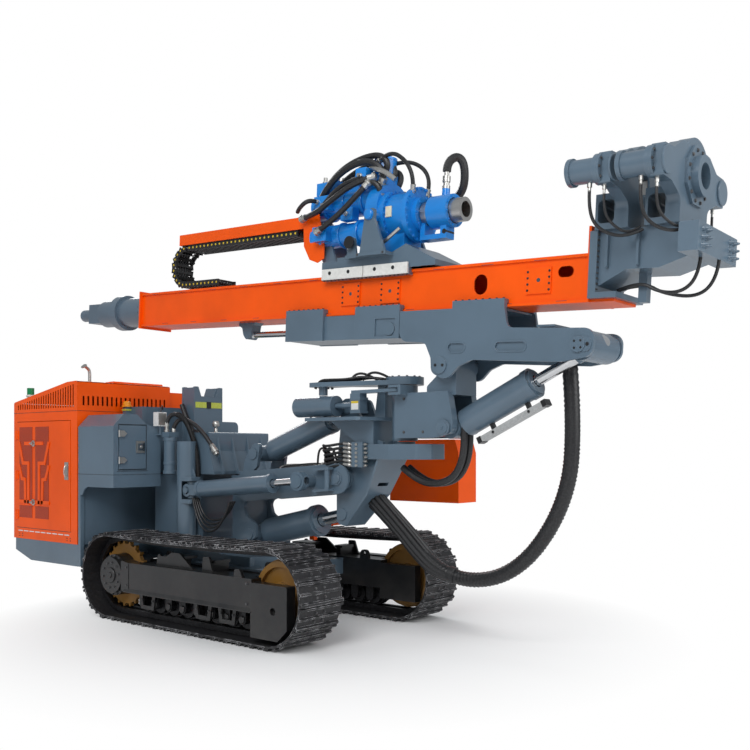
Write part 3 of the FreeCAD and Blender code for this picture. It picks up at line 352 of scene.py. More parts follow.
def make_finishes():
    """Every finish of the machine by its plain name."""
    return {
        "orange": paint("orange paint", (1.0, 0.105, 0.0), 0.34, 0.06, 0.05, 1.4, 0.2, 0.25),
        "grey": paint("blue grey paint", BLUE_GREY, 0.30, 0.4, 0.10, 1.5, 0.6),
        "dark_grey": paint("dark grey paint", (0.045, 0.065, 0.085), 0.45, 0.1, 0.2, 1.5, 0.4),
        "blue": paint("blue gearbox paint", (0.008, 0.24, 0.72), 0.28, 0.3, 0.04, 1.0, 0.4),
        "black": paint("black frame paint", (0.007, 0.0075, 0.009), 0.36, 0.2, 0.08, 0.9, 0.5),
        "ochre": paint("ochre primer", (0.36, 0.17, 0.022), 0.5, 0.0, 0.3, 1.2, 0.5),
        "shoe": shoe_steel(),
        "link": grained("chain steel", (0.008, 0.008, 0.009), (0.03, 0.03, 0.034), 0.45, 50.0, 0.3, 0.3),
        "cast": grained("cast iron", (0.07, 0.07, 0.075), (0.16, 0.16, 0.16), 0.6, 60.0, 0.35, 0.4),
        "rubber": grained("hose rubber", (0.010, 0.010, 0.011), (0.035, 0.035, 0.037), 0.42, 130.0, 0.15),
        "sleeve": grained("sleeve plastic", (0.008, 0.008, 0.009), (0.03, 0.03, 0.032), 0.36, 90.0, 0.1),
        "plastic": grained("chain plastic", (0.012, 0.012, 0.013), (0.03, 0.03, 0.03), 0.5, 90.0, 0.1),
        "yellow": grained("yellow plastic", (0.62, 0.45, 0.02), (0.72, 0.55, 0.05), 0.45, 80.0, 0.05),
        "lime": grained("lime tape", (0.50, 0.56, 0.07), (0.6, 0.66, 0.12), 0.4, 60.0, 0.03),
        "pad": grained("white guide pad", (0.68, 0.68, 0.65), (0.78, 0.78, 0.75), 0.5, 40.0, 0.05),
        "label": grained("blank plate", (0.72, 0.73, 0.70), (0.8, 0.8, 0.78), 0.35, 30.0, 0.02),
        "cream": grained("cream plate", (0.70, 0.64, 0.48), (0.78, 0.72, 0.56), 0.4, 30.0, 0.02),
        "green": grained("green lens", (0.0, 0.22, 0.075), (0.01, 0.30, 0.10), 0.2, 30.0, 0.02),
        "amber": grained("amber lens", (0.80, 0.28, 0.01), (0.9, 0.36, 0.02), 0.2, 30.0, 0.02),
        "white": grained("white plastic", (0.72, 0.72, 0.71), (0.8, 0.8, 0.79), 0.4, 30.0, 0.02),
        "steel": bright_steel("machined steel", (0.60, 0.59, 0.57), 0.32, 4.0),
        "zinc": bright_steel("zinc plated steel", (0.62, 0.61, 0.58), 0.36, 1.0),
        "mesh": perforated_sheet(),
        "rail": grained("anodised rail", (0.42, 0.43, 0.43), (0.5, 0.51, 0.51), 0.35, 60.0, 0.03, 0.3),
        "red": grained("red lens", (0.45, 0.01, 0.008), (0.55, 0.02, 0.012), 0.2, 30.0, 0.02),
    }


def pick(finishes, names):
    """Finishes of a piece's slots, given as words."""
    return [finishes[name] for name in names.split()]


NODE_FINISH = {
    "shoe": ["track_right", "track_left"],
    "link": ["track_chains", "rollers"],
    "black": ["track_frames"],
    "ochre": ["sprockets", "idlers"],
    "orange": ["engine_hood", "engine_door", "console", "mast_beam", "chain_tray"],
    "blue": ["drill_head"],
    "steel": ["spindle", "rear_jaw_right", "rear_jaw_left", "front_jaw_right", "front_jaw_left"],
    "zinc": ["exhaust"],
    "cast": ["engine_block"],
    "pad": ["guide_pads"],
    "green": ["beacon"],
    "plastic": ["energy_chain"],
    "rubber": ["hose_loop"],
}


def dress_rods(frame):
    """Chrome rods with painted ends; each row is (node, point on the axis, another, radius)."""
    rows = (("strut_rod", at(0, 0, 1.615), at(1.15, 0, 2.03), 0.048),
            ("lift_rod", at(-0.06, 0, 0.83), at(1.085, 0, 1.072), 0.058),
            ("tilt_rod", TILT_FOOT, TILT_EYE, 0.046),
            ("swing_rod_right", at(-0.557, -0.5, 1.256), at(0.82, -0.4, 1.37), 0.035),
            ("swing_rod_left", at(-0.557, 0.5, 1.256), at(0.82, 0.4, 1.37), 0.035),
            ("slide_rod", on_mast(-2.452, 0, 0.333), on_mast(-0.9, 0, 0.333), 0.030))
    for name, start, end, radius in rows:
        finish = plated_rod(name + " finish", start, end, radius)
        for slot in frame["nodes"][name].material_slots:
            slot.material = finish


def dress_nodes(frame, finishes):
    """Gives each node its finish; what the table leaves out is blue grey."""
    chosen = {name: finish for finish, names in NODE_FINISH.items() for name in names}
    for name, piece in frame["nodes"].items():
        finish = finishes[chosen.get(name, "grey")]
        for slot in piece.material_slots:
            slot.material = finish
        if not piece.material_slots:
            piece.data.materials.append(finish)


# Shapes


def new_shape():
    return bmesh.new()


def mark_slot(faces, slot):
    for face in faces:
        face.material_index = slot


def add_block(bm, low, high, slot=0, place=at):
    """Box between two corners, given in the frame of the place function."""
    corners = []
    for x in (low[0], high[0]):
        for y in (low[1], high[1]):
            for z in (low[2], high[2]):
                corners.append(bm.verts.new(place(x, y, z)))
    quads = ((0, 1, 3, 2), (4, 6, 7, 5), (0, 4, 5, 1), (2, 3, 7, 6), (0, 2, 6, 4), (1, 5, 7, 3))
    mark_slot([bm.faces.new([corners[i] for i in quad]) for quad in quads], slot)


def add_prism(bm, points, way, slot=0):
    """Closed outline pushed along a direction."""
    low = [bm.verts.new(p) for p in points]
    high = [bm.verts.new(p + way) for p in points]
    faces = [bm.faces.new(low), bm.faces.new(high[::-1])]
    for i in range(len(points)):
        j = (i + 1) % len(points)
        faces.append(bm.faces.new((low[i], high[i], high[j], low[j])))
    mark_slot(faces, slot)


def circle(centre, across, up, radius, sides):
    """Points of a circle in the plane of two directions."""
    turns = [2 * math.pi * i / sides for i in range(sides)]
    return [centre + across * (radius * math.cos(turn)) + up * (radius * math.sin(turn)) for turn in turns]


def ring_points(centre, way, radius, sides):
    """Points of a circle square to a direction."""
    across = way.orthogonal().normalized()
    return circle(centre, across, way.normalized().cross(across), radius, sides)


def join_rings(bm, rings, slot):
    """Skin over a row of rings, closed at both ends."""
    rings = [[bm.verts.new(p) for p in ring] for ring in rings]
    faces = [bm.faces.new(rings[0][::-1]), bm.faces.new(rings[-1])]
    for a, b in zip(rings, rings[1:]):
        for i in range(len(a)):
            j = (i + 1) % len(a)
            faces.append(bm.faces.new((a[i], a[j], b[j], b[i])))
    mark_slot(faces, slot)


def add_turned(bm, start, way, profile, slot=0, sides=20):
    """Turned part on an axis; the profile is (distance along it, radius)."""
    way = way.normalized()
    join_rings(bm, [ring_points(start + way * along, way, max(radius, 0.0005), sides)
                    for along, radius in profile], slot)


def add_drum(bm, start, end, radius, slot=0, sides=20):
    """Round bar between two points, with broken edges."""
    edge = min(0.004, radius * 0.12)
    length = (end - start).length
    profile = ((0, radius - edge), (edge, radius), (length - edge, radius), (length, radius - edge))
    add_turned(bm, start, end - start, profile, slot, sides)


def add_fitting(bm, spot, way, head, neck, slot, sides=6):
    """Screwed fitting; head and neck are (radius, distance along the axis where it ends)."""
    profile = ((0, head[0]), (head[1], head[0]), (head[1] + 0.002, neck[0]), (neck[1], neck[0]))
    add_turned(bm, spot, way, profile, slot, sides)


def smooth_line(points, steps=8):
    """Points along a NURBS curve with the given control points."""
    curve = bpy.data.curves.new("line", "CURVE")
    curve.dimensions = "3D"
    curve.resolution_u = steps
    spline = curve.splines.new("NURBS")
    spline.points.add(len(points) - 1)
    for spot, point in zip(spline.points, points):
        spot.co = (point[0], point[1], point[2], 1)
    spline.order_u = 3
    spline.use_endpoint_u = True
    holder = bpy.data.objects.new("line", curve)
    bpy.context.scene.collection.objects.link(holder)
    mesh = bpy.data.meshes.new_from_object(holder)
    line = [v.co.copy() for v in mesh.vertices]
    bpy.data.objects.remove(holder)
    bpy.data.curves.remove(curve)
    bpy.data.meshes.remove(mesh)
    return line


def add_tube(bm, line, radius, slot=0, sides=10, ribs=None):
    """Tube along a line; ribs is (pitch, height) of a corrugated sleeve."""
    across = (line[1] - line[0]).normalized().orthogonal().normalized()
    rings = []
    distance = 0.0
    for i, point in enumerate(line):
        way = (line[min(i + 1, len(line) - 1)] - line[max(i - 1, 0)]).normalized()
        across = (across - way * across.dot(way)).normalized()
        if i:
            distance += (point - line[i - 1]).length
        size = radius
        if ribs:
            size = radius - ribs[1] * (0.5 + 0.5 * math.cos(2 * math.pi * distance / ribs[0]))
        rings.append(circle(point, across, way.cross(across), size, sides))
    join_rings(bm, rings, slot)


def add_hose(bm, points, radius, slot=0, place=at, ends=None, steps=6):
    """Hose along a smooth curve, with crimped fittings of another slot at its ends."""
    line = smooth_line([place(*p) for p in points], steps)
    add_tube(bm, line, radius, slot)
    if ends is None:
        return
    for tip, inner in ((line[0], line[1]), (line[-1], line[-2])):
        way = (inner - tip).normalized()
        add_turned(bm, tip - way * 0.004, way,
                   ((0, radius * 1.1), (0.012, radius * 1.55), (0.03, radius * 1.55), (0.034, radius * 1.2),
                    (0.075, radius * 1.3), (0.078, radius)), ends, 10)


def add_spiral(bm, line, radius, wire, pitch, slot=0):
    """Wire guard wound around a hose."""
    turns = []
    total = 0.0
    across = (line[1] - line[0]).normalized().orthogonal().normalized()
    for a, b in zip(line, line[1:]):
        way = (b - a).normalized()
        across = (across - way * across.dot(way)).normalized()
        up = way.cross(across)
        length = (b - a).length
        steps = max(2, int(length / pitch * 10))
        for k in range(steps):
            turn = 2 * math.pi * (total + length * k / steps) / pitch
            spot = a.lerp(b, k / steps)
            turns.append(spot + across * (radius * math.cos(turn)) + up * (radius * math.sin(turn)))
        total += length
    add_tube(bm, turns, wire, slot, 5)


def finish_piece(name, bm, materials, body, soft=0.6):
    """Turns a shape into a piece, which rides on a body if one is given.

    Edges sharper than soft stay crisp.
    """
    bmesh.ops.recalc_face_normals(bm, faces=bm.faces)
    for face in bm.faces:
        face.smooth = True
    for edge in bm.edges:
        if len(edge.link_faces) == 2 and edge.calc_face_angle(0.0) > soft:
            edge.smooth = False
    mesh = bpy.data.meshes.new(name)
    bm.to_mesh(mesh)
    bm.free()
    for material in materials:
        mesh.materials.append(material)
    piece = bpy.data.objects.new(name, mesh)
    bpy.context.scene.collection.objects.link(piece)
    if body:
        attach(piece, body)
    return piece


# Bolts

BOLT_SIZES = {"Head height": 0.65, "Head radius": 0.85, "Head lift": 0.45, "Washer height": 0.3,
              "Washer radius": 1.15}


def bolt_tree():
    """Hexagon bolts with washers on points that carry their direction and size."""
    tree = bpy.data.node_groups.new("bolt scatter", "GeometryNodeTree")
    face = tree.interface
    face.new_socket("Geometry", in_out="INPUT", socket_type="NodeSocketGeometry")
    sockets = {}
    for label, value in BOLT_SIZES.items():
        socket = face.new_socket(label, in_out="INPUT", socket_type="NodeSocketFloat")
        socket.default_value = value
        sockets[label] = socket.identifier
    socket = face.new_socket("Material", in_out="INPUT", socket_type="NodeSocketMaterial")
    sockets["Material"] = socket.identifier
    face.new_socket("Geometry", in_out="OUTPUT", socket_type="NodeSocketGeometry")
    given = tree.nodes.new("NodeGroupInput").outputs
    points = node(tree, "GeometryNodeMeshToPoints", {"Mesh": given["Geometry"]})
    hexagon = node(tree, "GeometryNodeMeshCylinder", {"Vertices": 6, "Radius": given["Head radius"],
                                                      "Depth": given["Head height"]})
    height = node(tree, "ShaderNodeCombineXYZ", {"Z": given["Head lift"]})
    lift = node(tree, "GeometryNodeTransform", {"Geometry": hexagon.outputs["Mesh"],
                                                "Translation": height.outputs[0]})
    washer = node(tree, "GeometryNodeMeshCylinder", {"Vertices": 10, "Radius": given["Washer radius"],
                                                     "Depth": given["Washer height"]})
    both = node(tree, "GeometryNodeJoinGeometry", {"Geometry": lift.outputs["Geometry"]})
    tree.links.new(washer.outputs["Mesh"], both.inputs["Geometry"])
    way = node(tree, "GeometryNodeInputNamedAttribute", {"Name": "way"}, data_type="FLOAT_VECTOR")
    size = node(tree, "GeometryNodeInputNamedAttribute", {"Name": "size"}, data_type="FLOAT")
    turn = node(tree, "FunctionNodeAlignRotationToVector", {"Vector": way.outputs["Attribute"]}, axis="Z")
    spread = node(tree, "GeometryNodeInstanceOnPoints", {
        "Points": points.outputs["Points"], "Instance": both.outputs["Geometry"],
        "Rotation": turn.outputs["Rotation"], "Scale": size.outputs["Attribute"]})
    real = node(tree, "GeometryNodeRealizeInstances", {"Geometry": spread.outputs["Instances"]})
    coat = node(tree, "GeometryNodeSetMaterial", {"Geometry": real.outputs["Geometry"],
                                                  "Material": given["Material"]})
    result = tree.nodes.new("NodeGroupOutput")
    tree.links.new(coat.outputs["Geometry"], result.inputs["Geometry"])
    return tree, sockets


BOLT_TREE, BOLT_SOCKETS = bolt_tree()


def scatter_bolts(name, body, rows, material, height=BOLT_SIZES["Head height"]):
    """One piece of bolts; each row is (point, direction, size)."""
    mesh = bpy.data.meshes.new(name + "_points")
    mesh.from_pydata([tuple(point) for point, way, size in rows], [], [])
    mesh.attributes.new("way", "FLOAT_VECTOR", "POINT")
    mesh.attributes.new("size", "FLOAT", "POINT")
    for i, (point, way, size) in enumerate(rows):
        mesh.attributes["way"].data[i].vector = way
        mesh.attributes["size"].data[i].value = size
    holder = bpy.data.objects.new(name + "_points", mesh)
    bpy.context.scene.collection.objects.link(holder)
    scatter = holder.modifiers.new("bolts", "NODES")
    scatter.node_group = BOLT_TREE
    for label, value in {**BOLT_SIZES, "Head height": height, "Material": material}.items():
        scatter[BOLT_SOCKETS[label]] = value
    ready = holder.evaluated_get(bpy.context.evaluated_depsgraph_get())
    plain = bpy.data.meshes.new_from_object(ready)
    plain.name = name
    plain.materials.clear()
    plain.materials.append(material)
    plain.polygons.foreach_set("material_index", [0] * len(plain.polygons))
    bpy.data.objects.remove(holder)
    piece = bpy.data.objects.new(name, plain)
    bpy.context.scene.collection.objects.link(piece)
    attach(piece, body)
    return piece


def circle_rows(centre, way, radius, count, size):
    """Bolts on a circle square to their direction."""
    return [(p, way, size) for p in ring_points(centre, way, radius, count)]


def line_rows(start, end, count, way, size):
    """Bolts at even steps between two points."""
    return [(start.lerp(end, i / (count - 1)), way, size) for i in range(count)]


# Crawler

SPROCKET_X = -1.130
IDLER_X = 1.100
WHEEL_Z = 0.425
LINK_R = 0.330
SHOE_R = 0.402
SHOE_COUNT = 40
SHOE_SAG = 0.018
SHOE_BOLT_Y = (0.80, 0.90)
ROLLER_Z = 0.2


def track_spot(distance):
    """Place and outward direction on the shoes at a distance along the pitch line."""
    straight = IDLER_X - SPROCKET_X
    arc = math.pi * LINK_R
    distance = distance % (2 * straight + 2 * arc)
    if distance < straight:
        sag = SHOE_SAG * math.sin(math.pi * distance / straight)
        return (SPROCKET_X + distance, WHEEL_Z + SHOE_R - sag), (0.0, 1.0)
    distance -= straight
    if distance < arc:
        turn = math.pi / 2 - distance / LINK_R
        way = (math.cos(turn), math.sin(turn))
        return (IDLER_X + SHOE_R * way[0], WHEEL_Z + SHOE_R * way[1]), way
    distance -= arc
    if distance < straight:
        return (IDLER_X - distance, WHEEL_Z - SHOE_R), (0.0, -1.0)
    distance -= straight
    turn = -math.pi / 2 - distance / LINK_R
    way = (math.cos(turn), math.sin(turn))
    return (SPROCKET_X + SHOE_R * way[0], WHEEL_Z + SHOE_R * way[1]), way


def track_details(finishes):
    """Shoe bolts, the bolt rings of the drives and the caps of the hubs and rollers."""
    pitch = (2 * (IDLER_X - SPROCKET_X) + 2 * math.pi * LINK_R) / SHOE_COUNT
    shoe_bolts = []
    frame_bolts = []
    for side in (-1, 1):
        for shoe in range(SHOE_COUNT):
            for part in (0.30, 0.68):
                (x, z), way = track_spot((shoe + part) * pitch)
                for y in SHOE_BOLT_Y:
                    shoe_bolts.append((at(x, side * y, z), Vector((way[0], 0, way[1])), 0.012))
        out = Vector((0, side, 0))
        frame_bolts += circle_rows(at(SPROCKET_X, side * 1.001, WHEEL_Z), out, 0.187, 18, 0.010)
        frame_bolts += circle_rows(at(SPROCKET_X, side * 1.041, WHEEL_Z), out, 0.125, 10, 0.012)
        for x in (-0.56, 0.24, 0.56):
            frame_bolts += [(at(x + dx, side * 1.031, 0.235), out, 0.011) for dx in (-0.082, 0.082)]
        frame_bolts += [(at(x, side * 1.076, z), out, 0.012)
                        for x, z in ((-0.82, 0.53), (-0.82, 0.36), (0.86, 0.53), (0.86, 0.36))]
    scatter_bolts("shoe_bolts", "chassis", shoe_bolts, finishes["cast"], 0.8)
    scatter_bolts("frame_bolts", "chassis", frame_bolts, finishes["cast"], 0.8)
    bm = new_shape()
    for side in (-1, 1):
        for x, inner, outer, radius, sides in ((SPROCKET_X, 1.039, 1.052, 0.075, 24),
                                               (SPROCKET_X, 1.05, 1.062, 0.03, 12),
                                               (IDLER_X, 0.90, 0.95, 0.09, 20)):
            add_drum(bm, at(x, side * inner, WHEEL_Z), at(x, side * outer, WHEEL_Z), radius, 0, sides)
        for i in range(8):
            x = -0.68 + i * 0.2
            add_drum(bm, at(x, side * 0.999, ROLLER_Z), at(x, side * 1.012, ROLLER_Z), 0.034, 0, 12)
    finish_piece("hub_caps", bm, pick(finishes, "black"), "chassis")


# Rear housing


def door_skin(finishes):
    """Side door with its perforated panels behind raised bands, knobs and handle."""
    bm = new_shape()
    orange, mesh, zinc = 0, 1, 2
    y = DOOR_Y
    add_block(bm, (-2.766, y, 0.818), (-1.738, -1.096, 1.949), orange)
    middle = -2.425
    top = 1.895

    def spot(side, across, down):
        return (middle + side * across, top - down)

    for side in (-1, 1):
        for across0, across1, down0, down1 in ((0.03, 0.29, 0.0, 0.80), (0.03, 0.29, 0.84, 0.97)):
            x0, z0 = spot(side, across0, down0)
            x1, z1 = spot(side, across1, down1)
            add_block(bm, (min(x0, x1), y - 0.003, z1), (max(x0, x1), y, z0), mesh)
        bands = (((0.17, 0.175), (0.0, 0.175)),
                 ((0.29, 0.175), (0.215, 0.385), (0.105, 0.385), (0.105, 0.82)),
                 ((0.29, 0.42), (0.235, 0.55), (0.175, 0.56), (0.165, 0.80)),
                 ((0.29, 0.80), (0.03, 0.80)))
        for band in bands:
            for step, (a, b) in enumerate(zip(band, band[1:])):
                p = Vector(spot(side, *a))
                q = Vector(spot(side, *b))
                way = (q - p).normalized()
                wide = Vector((-way.y, way.x)) * 0.019
                ends = (p - way * 0.015 + wide, q + way * 0.015 + wide, q + way * 0.015 - wide,
                        p - way * 0.015 - wide)
                depth = y - 0.009 - 0.0007 * (step % 2)
                add_prism(bm, [at(c.x, depth, c.y) for c in ends], Vector((0, y - 0.001 - depth, 0)),
                          orange)
    knob = ((0, 0.034), (0.006, 0.034), (0.01, 0.02), (0.026, 0.018), (0.03, 0.012))
    for down in (0.175, 0.80):
        x, z = spot(1, 0.0, down)
        add_turned(bm, at(x, y - 0.006, z), RIGHT, knob, zinc, 14)
        add_block(bm, (x - 0.03, y - 0.04, z - 0.006), (x + 0.03, y - 0.03, z + 0.006), zinc)
    add_block(bm, (-1.835, y - 0.006, 1.345), (-1.765, y, 1.525), zinc)
    add_hose(bm, ((-1.80, y, 1.37), (-1.80, y - 0.03, 1.38), (-1.80, y - 0.03, 1.49), (-1.80, y, 1.50)),
             0.008, zinc)
    for z in (0.90, 1.33, 1.76):
        add_drum(bm, at(-2.774, -1.112, z), at(-2.774, -1.112, z + 0.1), 0.010, orange, 12)
        add_block(bm, (-2.774, -1.112, z + 0.005), (-2.735, -1.103, z + 0.095), orange)
    skin = finish_piece("engine_door_skin", bm, pick(finishes, "orange mesh zinc"), "engine_door_body")
    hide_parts("engine_door")


def hood_details(finishes):
    """Seams, skirt, lamps, exhaust elbow, beacon foot and work lamp of the housing."""
    bm = new_shape()
    dark, white, amber, lime, zinc, red, grey = range(7)
    add_block(bm, (-2.841, -1.1012, 2.046), (-1.622, -1.0995, 2.050), dark)
    add_block(bm, (-1.6225, -1.1, 2.046), (-1.6205, 0.06, 2.050), dark)
    add_block(bm, (-2.772, -1.1012, 0.812), (-1.732, -1.0995, 0.817), dark)
    for i in range(9):
        x = -2.74 + i * 0.112
        add_block(bm, (x, -1.104, 0.776), (x + 0.085, -1.1, 0.786), white)
    for x in (-2.72, -2.66, -1.80, -1.74):
        for z in (0.725, 0.75):
            add_drum(bm, at(x, -1.0995, z), at(x, -1.104, z), 0.006, dark, 8)
    for z in (1.12, 1.60):
        add_block(bm, (-2.885, -1.06, z), (-2.84, -0.96, z + 0.10), dark)
        add_drum(bm, at(-2.885, -1.01, z + 0.05), at(-2.90, -1.01, z + 0.05), 0.034, red, 14)
    add_turned(bm, at(-2.76, -0.95, 2.186), UP, ((0, 0.033), (0.045, 0.033), (0.05, 0.048),
               (0.066, 0.048), (0.07, 0.04)), white, 20)
    add_turned(bm, at(-2.5, -0.38, 2.24), UP, ((0, 0.018), (0.26, 0.018)), zinc, 12)
    add_hose(bm, ((-2.5, -0.38, 2.49), (-2.5, -0.38, 2.55), (-2.5, -0.42, 2.58), (-2.49, -0.46, 2.60)),
             0.018, zinc)
    add_turned(bm, at(-2.49, -0.455, 2.585), Vector((0.1, -0.5, 0.6)), ((0, 0.02), (0.004, 0.036),
               (0.012, 0.036)), zinc, 14)
    add_block(bm, (-1.56, -0.60, 1.99), (-1.50, -0.54, 2.10), grey)
    add_block(bm, (-1.565, -0.606, 2.06), (-1.495, -0.534, 2.078), lime)
    add_turned(bm, at(-1.53, -0.57, 2.10), UP, ((0, 0.055), (0.012, 0.055), (0.016, 0.042),
               (0.05, 0.040), (0.062, 0.022)), amber, 18)
    add_hose(bm, ((-1.02, -0.50, 2.06), (-1.0, -0.52, 2.12), (-0.99, -0.54, 2.06), (-0.985, -0.56, 2.0)),
             0.006, dark)
    add_block(bm, (-1.00, -0.63, 1.89), (-0.93, -0.52, 2.03), white)
    add_block(bm, (-0.931, -0.62, 1.90), (-0.926, -0.53, 2.02), zinc)
    add_drum(bm, at(-0.965, -0.575, 1.81), at(-0.965, -0.575, 1.892), 0.008, grey, 8)
    add_block(bm, (-1.02, -0.60, 1.80), (-0.94, -0.55, 1.812), grey)
    finish_piece("hood_details", bm, pick(finishes, "black white amber lime zinc red grey"), "chassis")


def control_box_details(finishes):
    """Hinges and latch of the switch box door, and the seams around it."""
    bm = new_shape()
    leaf = ((-1.05, 0.0), (-1.05, 0.06), (-0.99, 0.06), (-0.955, 0.03), (-0.99, 0.0))
    for z in (1.52, 1.78):
        add_prism(bm, [at(-0.984, y, z + dz) for y, dz in leaf], Vector((0.006, 0, 0)), 0)
        add_drum(bm, at(-0.980, -1.046, z - 0.005), at(-0.980, -1.046, z + 0.065), 0.009, 0, 12)
    add_block(bm, (-0.994, -0.845, 1.62), (-0.985, -0.745, 1.74), 0)
    add_block(bm, (-0.986, -0.825, 1.645), (-0.978, -0.765, 1.715), 1)
    add_drum(bm, at(-0.98, -0.795, 1.68), at(-0.966, -0.795, 1.68), 0.016, 0, 12)
    finish_piece("door_fittings", bm, pick(finishes, "zinc dark_grey"), "control_door_body")

    bm = new_shape()
    add_block(bm, (-1.6, -1.1012, 1.406), (-1.0, -1.0995, 1.412), 0)
    add_block(bm, (-1.0005, -1.1, 1.406), (-0.9985, -0.541, 1.412), 0)
    for y0, y1, z0, z1 in ((-1.045, -0.715, 1.898, 1.904), (-1.045, -0.715, 1.452, 1.458),
                           (-0.718, -0.712, 1.455, 1.90)):
        add_block(bm, (-1.0005, y0, z0), (-0.9975, y1, z1), 0)
    add_block(bm, (-1.0005, -1.06, 1.44), (-0.998, -0.70, 1.446), 0)
    finish_piece("box_seams", bm, pick(finishes, "dark_grey"), "chassis")


def deck_details(finishes):
    """Saddle strips, filter fittings, hoses with wire guards and the ball knob."""
    bm = new_shape()
    lime, dark, rubber, zinc, grey = range(5)
    for y0, y1 in ((-0.175, -0.03), (0.03, 0.175)):
        add_block(bm, (-0.900, y0, 2.09), (-0.896, y1, 2.15), lime)
    add_block(bm, (-0.901, -0.03, 2.085), (-0.894, 0.03, 2.155), dark)
    for z, r in ((1.409, 0.072), (1.50, 0.068), (1.74, 0.070)):
        add_drum(bm, at(-0.90, -0.50, z), at(-0.90, -0.50, z + 0.035), r, grey, 20)
    add_turned(bm, at(-0.93, -0.52, 1.83), UP, ((0, 0.026), (0.02, 0.026), (0.022, 0.018),
               (0.06, 0.018), (0.062, 0.024), (0.10, 0.024)), zinc, 6)
    add_turned(bm, at(-0.87, -0.48, 1.83), UP, ((0, 0.02), (0.03, 0.02), (0.05, 0.014)), zinc, 6)
    route = ((-0.93, -0.52, 1.92), (-0.90, -0.50, 2.03), (-0.70, -0.47, 1.98), (-0.57, -0.45, 1.72),
             (-0.55, -0.43, 1.45), (-0.56, -0.42, 1.2))
    thick = smooth_line([at(*p) for p in route], 10)
    add_tube(bm, thick, 0.022, rubber, 12)
    add_spiral(bm, thick[len(thick) // 4:], 0.026, 0.0035, 0.013, rubber)
    add_hose(bm, ((-0.87, -0.48, 1.87), (-0.83, -0.46, 1.98), (-0.62, -0.44, 1.93), (-0.45, -0.425, 1.80),
                  (-0.36, -0.42, 1.70)), 0.021, rubber)
    tip = at(-0.36, -0.42, 1.70)
    add_turned(bm, tip, Vector((0.55, 0, -0.62)), ((0, 0.021), (0.01, 0.028), (0.05, 0.028), (0.055, 0.034),
               (0.10, 0.034), (0.104, 0.024), (0.13, 0.024)), zinc, 12)
    add_hose(bm, ((-1.05, -0.23, 2.12), (-0.98, -0.24, 2.0), (-0.86, -0.24, 1.83), (-0.70, -0.3, 1.84),
                  (-0.60, -0.38, 1.70), (-0.575, -0.40, 1.45)), 0.026, rubber)
    add_turned(bm, at(-0.55, -0.2, 1.825), UP, ((0, 0.02), (0.03, 0.018), (0.05, 0.01),
               (0.055, 0.026), (0.075, 0.036), (0.10, 0.034), (0.118, 0.02)), zinc, 16)
    for i, sag in enumerate((0.16, 0.20, 0.24, 0.28)):
        y = -0.47 - 0.022 * i
        add_hose(bm, ((-0.50, y, 1.18), (-0.44, y, 1.10 - sag * 0.5), (-0.28, y, 1.12 - sag),
                      (-0.10, y + 0.03, 1.10 - sag * 0.6), (-0.02, y + 0.05, 1.16)), 0.010, rubber)
    finish_piece("deck_details", bm, pick(finishes, "lime black rubber zinc grey"), "chassis")


# Boom


def arm_details(finishes):
    """Hoses along the arm with their clips, and the locks of its pins."""
    bm = new_shape()
    rubber, zinc = range(2)
    for i in range(9):
        y = -0.19 + i * 0.046
        wave = 0.018 * math.sin(i * 2.1)
        lift = 0.008 + 0.020 * (i % 3)
        points = [(0.16, y, 1.415), (0.26, y + wave, 1.435 + lift), (0.42, y - wave, 1.45 + lift),
                  (0.62, y + wave, 1.465 + lift), (0.82, y - 0.6 * wave, 1.475 + lift),
                  (0.97, y, 1.46 + lift * 0.5)]
        add_hose(bm, points, 0.015, rubber)
    for x in (0.36, 0.74):
        add_hose(bm, ((x, -0.215, 1.42), (x, -0.21, 1.50), (x, 0.0, 1.515), (x, 0.21, 1.50),
                      (x, 0.215, 1.42)), 0.008, zinc)
    finish_piece("arm_hoses", bm, pick(finishes, "rubber zinc"), "arm_body")

    bm = new_shape()
    for side in (-1, 1):
        for x, z in ((-0.05, 1.30), (1.13, 1.395)):
            add_drum(bm, at(x, side * 0.262, z), at(x, side * 0.275, z), 0.045, 0, 18)
            y0, y1 = sorted((side * 0.262, side * 0.27))
            add_block(bm, (x - 0.07, y0, z - 0.055), (x + 0.02, y1, z - 0.03), 0)
    finish_piece("arm_pin_locks", bm, pick(finishes, "grey"), "arm_body")


